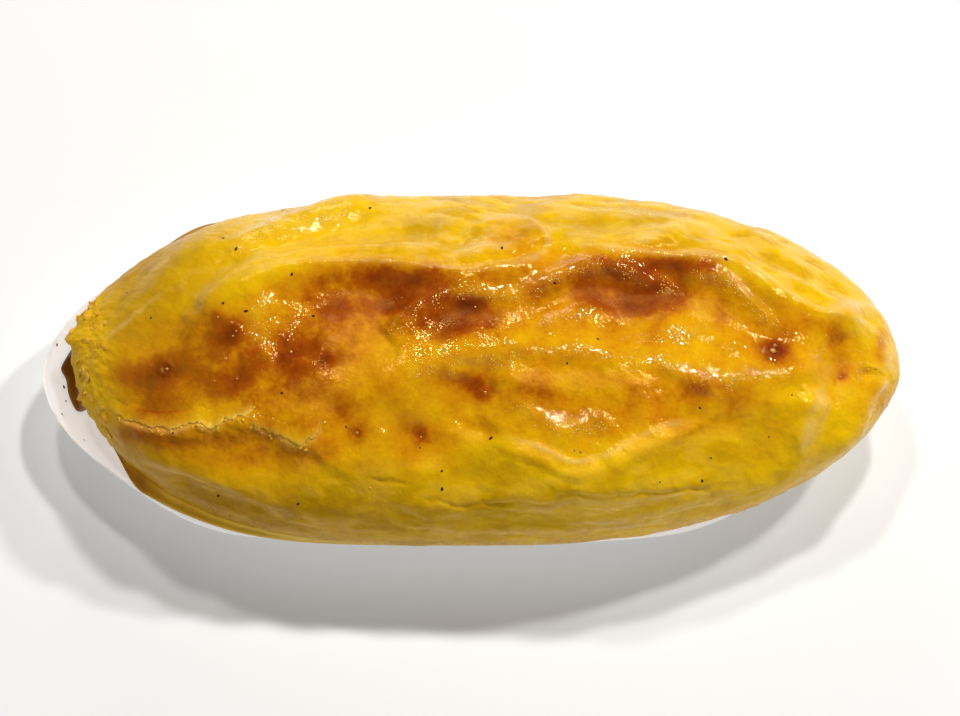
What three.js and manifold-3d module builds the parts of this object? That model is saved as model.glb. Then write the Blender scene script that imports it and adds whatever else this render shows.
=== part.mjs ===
// A baked sweet potato pastry: a spindle of buttery sweet potato mash, brushed with egg yolk and
// browned on top, in the thin white boat-shaped case that it was baked in.
// Millimetres, +Z up, +X along the pastry, -Y its near side. The origin is the middle of the base.
import * as THREE from 'three';
import { mergeVertices } from 'three/addons/utils/BufferGeometryUtils.js';
import Module from 'manifold-3d';

const wasm = await Module();
wasm.setup();

// Driving dimensions of the case
const CASE_LENGTH = 107;
const CASE_WIDTH = 48;
const CASE_HEIGHT = 11;
const CASE_MIDDLE_X = -2.2;
const SHEET = 0.4; // thickness of the coated paper
const WALL_RUN = 5.2; // the wall leans out, so the floor's edge lies this far inside the rim
const NOSE_PARAMETER = 20.4; // the ends are parabolas, width squared = parameter x distance from the tip

// Driving dimensions of the pastry
const PASTRY_LENGTH = 107.6;
const PASTRY_MIDDLE_X = 2; // it slid towards +X, so the case shows at the other end
const NEAR_HALF_WIDTH = 24.6;
const FAR_HALF_WIDTH = 23.6;
const MOUND_HEIGHT = 16; // crest above the rim, before the folds
const BULGE_HEIGHT = 2.5; // widest line of the mound above the rim
const BULGE_TUCK = 0.6; // how far the flank draws in under that line
const END_TAPER = 0.6; // 0.5 rounds the ends like an ellipse, more draws them to a point
const LEFT_BLUNTNESS = 3; // 2 starts the taper early, more keeps the sides full
const RIGHT_NEAR_BLUNTNESS = 2.4;
const RIGHT_FAR_BLUNTNESS = 3;
const LEFT_LEAN = 2; // the left tip is bent this far towards the far side
const SECTION_BLUNTNESS = 2.2;
const FIT_GAP = 0.4; // clearance between pastry and case
const HEEL_GAP = 1; // clearance between the case's wall and the part of the pastry inside it
const HEEL_LEFT_X = -48; // the part inside the case stops short of the case's end here
const HEEL_RISE = 1.5; // the part inside the case reaches this far up into the mound

// Mesh density
const OUTLINE_STEPS = 32; // along each side of the boat outline
const WALL_STEPS = 5;
const STATIONS = 94; // sections along the mound
const DOME_STEPS = 50; // from the near bulge over the crest to the far bulge
const TUCK_STEPS = 2;
const UNDERSIDE_STEPS = 4;
const PATH_SAMPLES = 40;

// Folds are raised lines in the crust. Their paths are plan positions [x, y], taken from left to right,
// and each has a height and how fast it falls away on its near side and on its far side.
const FOLDS = [
  { name: 'far shoulder', height: 1.9, near: 4, far: 1.6,
    path: [[-33, 4], [-27, 8.5], [-18, 10], [-9, 10], [-1, 8.5], [6, 9.5], [10, 12.5], [17, 12], [26, 11.5],
      [33, 10.5], [42, 6], [48, 4]] },
  { name: 'middle ridge', height: 1.2, near: 4, far: 3,
    path: [[-10, -6.5], [-4, -4], [5, -3], [16, -3.5], [25, -5], [32, -6.5], [40, -5]] },
  { name: 'pan edge', height: 0.8, near: 1.6, far: 1.6,
    path: [[-9, -0.5], [-6, 3], [-3, 5], [2, 5.5], [7, 5.8], [11, 7.5], [16, 9.2], [20, 9]] },
  { name: 'right pan edge', height: 0.7, near: 1.6, far: 1.6,
    path: [[28, 9], [32, 8.8], [35.5, 6.5], [39, 3], [40, 1]] },
  { name: 'lower lobe', height: 1.3, near: 1.2, far: 5,
    path: [[4, -14.5], [9, -16], [14, -17.5], [18, -16.5], [24, -13.5], [33, -9.5]] },
  { name: 'left rib', height: 0.8, near: 1.8, far: 1.8,
    path: [[-22, -16], [-20, -13], [-18.5, -8], [-17.5, -2]] },
  { name: 'left small rib', height: 0.6, near: 1.5, far: 1.5,
    path: [[-15, -18], [-13.5, -16.5], [-12, -13.5]] },
  { name: 'torn skin', height: 0.8, near: 0.9, far: 6,
    path: [[-46, -9.5], [-40, -11.5], [-33, -12.5], [-27, -12.5], [-22, -15.3]] },
  { name: 'flank overhang', height: 0.8, near: 0.9, far: 4,
    path: [[-6, -22], [2, -22], [10, -21.2], [20, -20.3], [28, -19.7], [35, -18.8]] },
  { name: 'left flank fold', height: 0.8, near: 1, far: 4,
    path: [[-42, -14.5], [-36, -17.2], [-29, -20], [-18, -23]] },
  { name: 'right crease', height: 0.7, near: 1.6, far: 1.6,
    path: [[41, -16.5], [42.5, -13], [43.2, -9.5], [43.5, -5]] },
  { name: 'right lip', height: 0.6, near: 1.2, far: 2,
    path: [[47, -13], [49.5, -9], [50, -5]] },
  { name: 'back ridge', height: 0.8, near: 2, far: 2,
    path: [[9, 17], [19, 15.5], [26, 15.5], [31, 17], [37, 13.5], [43, 8.8]] },
  { name: 'back left ridge', height: 0.7, near: 2.5, far: 2.5,
    path: [[-33, 12], [-25, 16], [-15, 20]] },
];

// Hollows are shallow pans in the crust, and one with a negative depth is a hump.
const HOLLOWS = [
  { name: 'deep pan', at: [0, 2.6], radii: [3.2, 2.6], depth: 1.3 },
  { name: 'long pan', at: [22.7, 5.5], radii: [6, 3.2], depth: 1.5 },
  { name: 'left pan', at: [-10.5, 4.3], radii: [6, 3], depth: 0.9 },
  { name: 'pan between the ribs', at: [-15.6, -13], radii: [2.6, 3], depth: 0.8 },
  { name: 'pan right of the ribs', at: [-6.6, -14.7], radii: [3.4, 2.6], depth: 0.6 },
  { name: 'trough over the lower lobe', at: [14, -9.5], radii: [7, 3], depth: 0.9 },
  { name: 'right saddle', at: [30, 0], radii: [5, 3], depth: 0.6 },
  { name: 'bubble pan', at: [39.3, -2.3], radii: [2.2, 2.2], depth: 0.5 },
  { name: 'right end pan', at: [48, -3], radii: [3, 4], depth: 0.8 },
  { name: 'back dent', at: [-9.8, 14.5], radii: [3.5, 2.5], depth: 0.7 },
  { name: 'back hump', at: [3.8, 13], radii: [5, 3.5], depth: -1.2 },
];

// Hand-shaped unevenness all over: each wave has an amplitude, wave numbers along x and y, and a phase.
const WAVES = [
  { amplitude: 0.35, x: 0.21, y: 0.17, phase: 0.5 },
  { amplitude: 0.25, x: 0.43, y: -0.31, phase: 2.0 },
  { amplitude: 0.15, x: -0.62, y: 0.55, phase: 4.1 },
];

// One closed surface through a stack of rings with equal point counts, capped by a fan at each end.
function ringSolid(rings, firstPole, lastPole) {
  const count = rings[0].length;
  const points = [...rings.flat(), firstPole, lastPole];
  const firstIndex = points.length - 2;
  const lastIndex = points.length - 1;
  const lastRing = (rings.length - 1) * count;
  const triangles = [];
  for (let i = 0; i < count; i++) {
    const next = (i + 1) % count;
    triangles.push(firstIndex, next, i);
    for (let ring = 0; ring < lastRing; ring += count) {
      triangles.push(ring + i, ring + next, ring + count + next);
      triangles.push(ring + i, ring + count + next, ring + count + i);
    }
    triangles.push(lastIndex, lastRing + i, lastRing + next);
  }
  const geometry = new THREE.BufferGeometry().setFromPoints(points);
  geometry.setIndex(triangles);
  return geometry;
}

// Half the width of a boat outline at a distance from its tip: a parabola that eases into straight sides.
function boatHalfWidth(fromTip, halfWidth) {
  const sharpness = 6;
  const nose = NOSE_PARAMETER * Math.max(fromTip, 0);
  const side = halfWidth ** 2;
  return Math.sqrt((nose * side) / (nose ** sharpness + side ** sharpness) ** (1 / sharpness));
}

// A level boat outline between two tips, counter-clockwise seen from above, with points crowded at the tips.
function boatRing(leftX, rightX, halfWidth, z) {
  const halfLength = (rightX - leftX) / 2;
  const middle = (rightX + leftX) / 2;
  const ring = [];
  for (let i = 0; i < 2 * OUTLINE_STEPS; i++) {
    const angle = (Math.PI * i) / OUTLINE_STEPS;
    const along = -halfLength * Math.cos(angle);
    const reach = boatHalfWidth(halfLength - Math.abs(along), halfWidth);
    ring.push(new THREE.Vector3(middle + along, i < OUTLINE_STEPS ? -reach : reach, z));
  }
  return ring;
}

// How far the case's outer wall lies inside the rim at a height.
function wallInset(z) {
  return WALL_RUN * (1 - z / CASE_HEIGHT);
}

function caseRing(inset, z) {
  const halfLength = CASE_LENGTH / 2 - inset;
  return boatRing(CASE_MIDDLE_X - halfLength, CASE_MIDDLE_X + halfLength, CASE_WIDTH / 2 - inset, z);
}

// The case is one thin sheet: up the outside of its wall, over the rim and down the inside.
function caseGeometry() {
  const outside = [];
  const inside = [];
  for (let i = 0; i <= WALL_STEPS; i++) {
    const outerZ = (CASE_HEIGHT * i) / WALL_STEPS;
    const innerZ = SHEET + ((CASE_HEIGHT - SHEET) * i) / WALL_STEPS;
    outside.push(caseRing(wallInset(outerZ), outerZ));
    inside.push(caseRing(wallInset(innerZ) + SHEET, innerZ));
  }
  const under = new THREE.Vector3(CASE_MIDDLE_X, 0, 0);
  const floor = new THREE.Vector3(CASE_MIDDLE_X, 0, SHEET);
  return ringSolid([...outside, ...inside.reverse()], under, floor);
}

// The heel is the part of the pastry that fills the case.
function heelGeometry() {
  const bottom = SHEET + FIT_GAP;
  const top = CASE_HEIGHT + HEEL_RISE;
  const rings = [];
  for (let i = 0; i <= WALL_STEPS; i++) {
    const z = bottom + ((top - bottom) * i) / WALL_STEPS;
    const inset = wallInset(Math.min(z, CASE_HEIGHT)) + SHEET + HEEL_GAP;
    const rightX = CASE_MIDDLE_X + CASE_LENGTH / 2 - inset;
    rings.push(boatRing(HEEL_LEFT_X, rightX, CASE_WIDTH / 2 - inset, z));
  }
  const middle = rings[0][0].x + rings[0][OUTLINE_STEPS].x;
  return ringSolid(rings, new THREE.Vector3(middle / 2, 0, bottom), new THREE.Vector3(middle / 2, 0, top));
}

// Signed distance in plan from a fold's path, positive on its far side.
function sideDistance(samples, x, y) {
  let nearest = Infinity;
  let side = 1;
  for (let i = 0; i + 1 < samples.length; i++) {
    const a = samples[i];
    const b = samples[i + 1];
    const along = new THREE.Vector2(b.x - a.x, b.y - a.y);
    const share = ((x - a.x) * along.x + (y - a.y) * along.y) / along.lengthSq();
    const held = THREE.MathUtils.clamp(share, 0, 1);
    const offX = x - a.x - held * along.x;
    const offY = y - a.y - held * along.y;
    const distance = Math.hypot(offX, offY);
    if (distance < nearest) {
      nearest = distance;
      side = along.x * offY - along.y * offX >= 0 ? 1 : -1;
    }
  }
  return side * nearest;
}

const foldSamples = FOLDS.map(({ path }) => {
  const curve = new THREE.CatmullRomCurve3(path.map(([x, y]) => new THREE.Vector3(x, y, 0)));
  return curve.getPoints(PATH_SAMPLES);
});

// Height of the crust above the plain mound at a plan position.
function relief(x, y) {
  let height = 0;
  FOLDS.forEach((fold, i) => {
    const distance = sideDistance(foldSamples[i], x, y);
    const width = distance < 0 ? fold.near : fold.far;
    height += fold.height * Math.exp(-((distance / width) ** 2));
  });
  for (const { at, radii, depth } of HOLLOWS) {
    const reach = ((x - at[0]) / radii[0]) ** 2 + ((y - at[1]) / radii[1]) ** 2;
    height -= depth * Math.exp(-reach);
  }
  for (const wave of WAVES) height += wave.amplitude * Math.sin(wave.x * x + wave.y * y + wave.phase);
  return height;
}

// Position along the mound, from -1 at the left tip to 1 at the right tip.
function lengthShare(x) {
  return (x - PASTRY_MIDDLE_X) / (PASTRY_LENGTH / 2);
}

// Share of the full section that is left at a position along the mound, from 1 in the middle to 0 at a tip.
function sectionShare(x, rightBluntness) {
  const share = lengthShare(x);
  const bluntness = share < 0 ? LEFT_BLUNTNESS : rightBluntness;
  return Math.max(0, 1 - Math.abs(share) ** bluntness) ** END_TAPER;
}

const nearShare = (x) => sectionShare(x, RIGHT_NEAR_BLUNTNESS);
const farShare = (x) => sectionShare(x, RIGHT_FAR_BLUNTNESS);

// How far the middle of a section is bent towards the far side.
function lean(x) {
  return LEFT_LEAN * Math.max(0, -lengthShare(x)) ** 8;
}

// The plain mound: angle is -90 degrees at the near bulge, 0 at the crest and 90 at the far bulge.
function moundPoint(x, angle) {
  const sine = Math.sin(angle);
  const reach = sine < 0 ? -nearShare(x) * NEAR_HALF_WIDTH : farShare(x) * FAR_HALF_WIDTH;
  const y = reach * Math.abs(sine) ** (2 / SECTION_BLUNTNESS);
  const rise = farShare(x) * (MOUND_HEIGHT - BULGE_HEIGHT) * Math.max(0, Math.cos(angle));
  return new THREE.Vector3(x, lean(x) + y, CASE_HEIGHT + BULGE_HEIGHT + rise);
}

// A point of the crust: the plain mound moved along its normal by the relief, which fades out at the bulge.
function crustPoint(x, angle) {
  const step = 0.02;
  const point = moundPoint(x, angle);
  const around = moundPoint(x, angle + step).sub(moundPoint(x, angle - step));
  const along = moundPoint(x + step, angle).sub(moundPoint(x - step, angle));
  const outward = along.cross(around).normalize();
  const fade = Math.min(1, 2 * Math.cos(angle)) * THREE.MathUtils.smoothstep(nearShare(x), 0.1, 0.6);
  return point.addScaledVector(outward, fade * relief(point.x, point.y));
}

// One section of the mound: over the crest, in under the near bulge, across the underside and out again.
function moundRing(x) {
  const share = nearShare(x);
  const ring = [];
  for (let i = 0; i <= DOME_STEPS; i++) ring.push(crustPoint(x, Math.PI * (0.5 - i / DOME_STEPS)));
  const far = ring[0];
  const near = ring[DOME_STEPS];
  const drop = Math.min(1, 2 * share) * (BULGE_HEIGHT - FIT_GAP);
  const tuck = share * BULGE_TUCK;
  const tucks = [];
  for (let i = 1; i <= TUCK_STEPS; i++) {
    const turn = (Math.PI * i) / (2 * TUCK_STEPS);
    tucks.push({ inward: tuck * (1 - Math.cos(turn)), down: drop * Math.sin(turn) });
  }
  for (const { inward, down } of tucks) ring.push(new THREE.Vector3(x, near.y + inward, near.z - down));
  for (let i = 1; i < UNDERSIDE_STEPS; i++) {
    const y = THREE.MathUtils.lerp(near.y + tuck, far.y - tuck, i / UNDERSIDE_STEPS);
    ring.push(new THREE.Vector3(x, y, near.z - drop));
  }
  tucks.reverse();
  for (const { inward, down } of tucks) ring.push(new THREE.Vector3(x, far.y - inward, far.z - down));
  return ring;
}

// Sections crowd a little towards the tips, where the outline turns fastest.
function moundGeometry() {
  const crowding = 0.4;
  const rings = [];
  for (let i = 1; i < STATIONS; i++) {
    const even = (2 * i) / STATIONS - 1;
    const share = (1 - crowding) * even + crowding * Math.sin((Math.PI / 2) * even);
    rings.push(moundRing(PASTRY_MIDDLE_X + (share * PASTRY_LENGTH) / 2));
  }
  const tipZ = CASE_HEIGHT + BULGE_HEIGHT;
  const leftX = PASTRY_MIDDLE_X - PASTRY_LENGTH / 2;
  const leftTip = new THREE.Vector3(leftX, lean(leftX), tipZ);
  const rightTip = new THREE.Vector3(PASTRY_MIDDLE_X + PASTRY_LENGTH / 2, 0, tipZ);
  return ringSolid(rings, leftTip, rightTip);
}

function toSolid(geometry) {
  const merged = mergeVertices(geometry);
  return new wasm.Manifold(new wasm.Mesh({
    numProp: 3,
    vertProperties: merged.attributes.position.array,
    triVerts: new Uint32Array(merged.index.array),
  }));
}

function toGeometry(solid) {
  const mesh = solid.getMesh();
  const geometry = new THREE.BufferGeometry();
  geometry.setAttribute('position', new THREE.BufferAttribute(mesh.vertProperties, mesh.numProp));
  geometry.setIndex(new THREE.BufferAttribute(mesh.triVerts, 1));
  geometry.computeVertexNormals();
  return geometry;
}

function pastryMesh() {
  const solid = toSolid(moundGeometry()).add(toSolid(heelGeometry()));
  const material = new THREE.MeshStandardMaterial({ color: 0xd9a21b, roughness: 0.35, metalness: 0 });
  const mesh = new THREE.Mesh(toGeometry(solid), material);
  mesh.name = 'pastry';
  return mesh;
}

function caseMesh() {
  const geometry = caseGeometry();
  geometry.computeVertexNormals();
  const material = new THREE.MeshStandardMaterial({ color: 0xf3f0e8, roughness: 0.3, metalness: 0 });
  const mesh = new THREE.Mesh(geometry, material);
  mesh.name = 'boat_case';
  return mesh;
}

const part = new THREE.Group();
part.add(caseMesh(), pastryMesh());
const middle = new THREE.Box3().setFromObject(part).getCenter(new THREE.Vector3());
part.position.set(-middle.x, -middle.y, 0);

export default part;
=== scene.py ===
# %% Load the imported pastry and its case
import math

import bmesh
import bpy
import numpy as np
from mathutils import Matrix, Vector, noise
from mathutils.bvhtree import BVHTree


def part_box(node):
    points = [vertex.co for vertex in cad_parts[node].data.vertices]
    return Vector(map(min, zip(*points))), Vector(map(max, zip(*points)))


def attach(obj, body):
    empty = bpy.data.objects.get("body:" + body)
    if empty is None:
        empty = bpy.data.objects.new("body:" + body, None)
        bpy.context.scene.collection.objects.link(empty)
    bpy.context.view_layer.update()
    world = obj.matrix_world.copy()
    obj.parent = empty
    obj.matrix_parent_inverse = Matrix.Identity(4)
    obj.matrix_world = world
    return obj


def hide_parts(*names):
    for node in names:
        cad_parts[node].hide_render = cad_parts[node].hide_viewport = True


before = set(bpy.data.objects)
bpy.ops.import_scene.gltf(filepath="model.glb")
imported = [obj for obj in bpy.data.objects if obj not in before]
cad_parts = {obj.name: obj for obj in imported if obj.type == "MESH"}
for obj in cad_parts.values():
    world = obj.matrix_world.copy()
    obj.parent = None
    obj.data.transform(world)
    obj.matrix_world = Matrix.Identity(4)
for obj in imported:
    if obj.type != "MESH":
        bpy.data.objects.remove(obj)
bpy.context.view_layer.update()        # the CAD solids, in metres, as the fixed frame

MM = 0.001

# %% [markdown]
# # A baked sweet potato pastry in a boat case
# The pastry is a spindle of mashed sweet potato, brushed with egg yolk and baked until blisters on top
# toast brown. It sits in a thin white boat-shaped case. The CAD solids give the true sizes and the large
# folds. This lesson refines a copy of each solid, adds the small relief of the crust, paints where it
# browned, paints some shade, light and highlights as colour, and dresses it with what the oven left: dried
# egg wash, burnt syrup, bubbles, specks and crumbs, with tiny pale balls as painted sparks on the ridges.

# %% [markdown]
# ## The camera
# The picture looks down at about 66 degrees, from far enough away that the pastry's sides hardly converge.
# A camera could be framed by eye, but then nothing in the scene could be placed from the picture. Here it
# is worked out from the picture's scale, so that any pixel gives a line of sight onto the model.

# %% Camera at the photograph's viewing angle
PICTURE_WIDTH, PICTURE_HEIGHT = 960, 716
VIEW_ELEVATION = math.radians(66)
VIEW_DISTANCE = 600 * MM
PIXEL = MM / 7.7  # what one pixel covers at the rim's height
RIM_CENTRE_PIXEL = (470.5, 376)
SENSOR_WIDTH = 36  # in Blender's own millimetres of film
RIM_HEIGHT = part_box("boat_case")[1].z


def add_object(name, data):
    """A new object at the origin, linked to the scene."""
    made = bpy.data.objects.new(name, data)
    bpy.context.scene.collection.objects.link(made)
    return made


view_right = np.array((1.0, 0.0, 0.0))
view_up = np.array((0.0, math.sin(VIEW_ELEVATION), math.cos(VIEW_ELEVATION)))
view_ahead = np.array((0.0, math.cos(VIEW_ELEVATION), -math.sin(VIEW_ELEVATION)))
aim = np.array((0.0, 0.0, RIM_HEIGHT))
aim += view_right * (PICTURE_WIDTH / 2 - RIM_CENTRE_PIXEL[0]) * PIXEL
aim += view_up * (RIM_CENTRE_PIXEL[1] - PICTURE_HEIGHT / 2) * PIXEL
eye = aim - view_ahead * VIEW_DISTANCE

camera = add_object("camera", bpy.data.cameras.new("camera"))
camera.data.sensor_width = SENSOR_WIDTH
camera.data.lens = SENSOR_WIDTH * VIEW_DISTANCE / (PIXEL * PICTURE_WIDTH)
turn = Matrix((view_right, view_up, -view_ahead)).transposed().to_4x4()
camera.matrix_world = Matrix.Translation(Vector(eye)) @ turn
bpy.context.scene.camera = camera
print(f"lens {camera.data.lens:.0f} mm, eye {Vector(eye) / MM}")


def picture_position(points):
    """Pixel columns and rows at which points in metres are seen."""
    rays = points - eye
    scale = VIEW_DISTANCE / PIXEL / (rays @ view_ahead)
    return PICTURE_WIDTH / 2 + rays @ view_right * scale, PICTURE_HEIGHT / 2 - rays @ view_up * scale


def line_of_sight(column, row):
    """Direction from the eye through a pixel."""
    across = (column - PICTURE_WIDTH / 2) * PIXEL
    above = (PICTURE_HEIGHT / 2 - row) * PIXEL
    return Vector(view_ahead * VIEW_DISTANCE + view_right * across + view_up * above).normalized()


# %% [markdown]
# ## A finer copy of the pastry
# The CAD solid has facets over a millimetre wide, which is coarse for a close look. A subdivision modifier
# would multiply its triangles twenty-fold, so a copy is merged, each triangle is split in four, twice, and
# the facets are relaxed. That leaves points a third of a millimetre apart, fine enough to carry torn edges.

# %% Refine the pastry
MERGE_DISTANCE = 0.001 * MM
SPLITS = 2
RELAX_ROUNDS = 8
RELAX_FACTOR = 0.5


def merged_copy(node):
    """A bare copy of a CAD node's mesh, and an editable shape of it whose facets share their corners."""
    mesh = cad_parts[node].data.copy()
    mesh.materials.clear()
    shape = bmesh.new()
    shape.from_mesh(mesh)
    bmesh.ops.remove_doubles(shape, verts=shape.verts, dist=MERGE_DISTANCE)
    return mesh, shape


crust_mesh, shape = merged_copy("pastry")
crust_mesh.name = "pastry_crust"
for _ in range(SPLITS):
    bmesh.ops.subdivide_edges(shape, edges=shape.edges, cuts=1, use_grid_fill=True)
for _ in range(RELAX_ROUNDS):
    bmesh.ops.smooth_vert(shape, verts=shape.verts, factor=RELAX_FACTOR,
                          use_axis_x=True, use_axis_y=True, use_axis_z=True)
bmesh.ops.triangulate(shape, faces=shape.faces)
shape.to_mesh(crust_mesh)
shape.free()
print(f"pastry crust: {len(crust_mesh.polygons)} triangles")

# %% [markdown]
# ## Reading the crust from the picture
# Every fold, crack and browned blister has its own place, so they are listed one by one as they are seen, in
# pixels, with their sizes in millimetres. Each point of the crust knows at which pixel it is seen, so a
# fold's height is a matter of the point's distance from the fold's path in the picture. Points that face
# away keep out of it.

# %% Distances in the picture
PATH_SAMPLES = 60
PIXELS_PER_MM = MM / PIXEL
GRAZING, PLAIN = 0.02, 0.3  # cosines of the angle to the eye, from hardly seen to plainly seen


def vectors(items, field):
    """An array of the vectors that a list of points or normals holds."""
    values = np.empty(len(items) * 3)
    items.foreach_get(field, values)
    return values.reshape(-1, 3)


def smooth_path(points, samples=PATH_SAMPLES):
    """A Catmull-Rom curve through given points."""
    points = np.array(points, float)
    padded = np.vstack((2 * points[0] - points[1], points, 2 * points[-1] - points[-2]))
    places = np.linspace(0, len(points) - 1, samples)
    start = np.minimum(places.astype(int), len(points) - 2)
    share = (places - start)[:, None]
    a, b, c, d = (padded[start + i] for i in range(4))
    return 0.5 * (2 * b + (c - a) * share + (2 * a - 5 * b + 4 * c - d) * share**2
                  + (3 * b - a - 3 * c + d) * share**3)


def measure_from(path, columns, rows):
    """Millimetres from a path, positive on its upper side in the picture, and the share of its length."""
    path = smooth_path(path)
    nearest = np.full(len(columns), np.inf)
    side = np.zeros(len(columns))
    share = np.zeros(len(columns))
    for i, (start, end) in enumerate(zip(path[:-1], path[1:])):
        step = end - start
        off_x, off_y = columns - start[0], rows - start[1]
        along = np.clip((off_x * step[0] + off_y * step[1]) / (step @ step), 0, 1)
        distance = np.hypot(off_x - along * step[0], off_y - along * step[1])
        closer = distance < nearest
        nearest[closer] = distance[closer]
        side[closer] = np.where(step[1] * off_x > step[0] * off_y, 1, -1)[closer]
        share[closer] = ((i + along) / (len(path) - 1))[closer]
    return side * nearest / PIXELS_PER_MM, share


def ease(value, low, high):
    """0 below low, 1 above high and smooth between."""
    share = np.clip((value - low) / (high - low), 0, 1)
    return share * share * (3 - 2 * share)


crust_points = vectors(crust_mesh.vertices, "co")
crust_normals = vectors(crust_mesh.vertex_normals, "vector")
column, row = picture_position(crust_points)
to_eye = eye - crust_points
to_eye /= np.linalg.norm(to_eye, axis=1)[:, None]
facing = np.sum(crust_normals * to_eye, axis=1)
seen = ease(facing, GRAZING, PLAIN)
print(f"{np.mean(facing > 0):.0%} of the crust's points face the camera")

# %% [markdown]
# ## Folds, lips and cracks
# As the mash sagged in the oven its skin slid, folded and tore. Sculpting brushes would do this by hand,
# but a script can list the lines instead: each has a rise, and the distance over which it falls away behind
# and in front. A lip is a fold with a short front, and a crack is a narrow fold with a negative rise.

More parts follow.
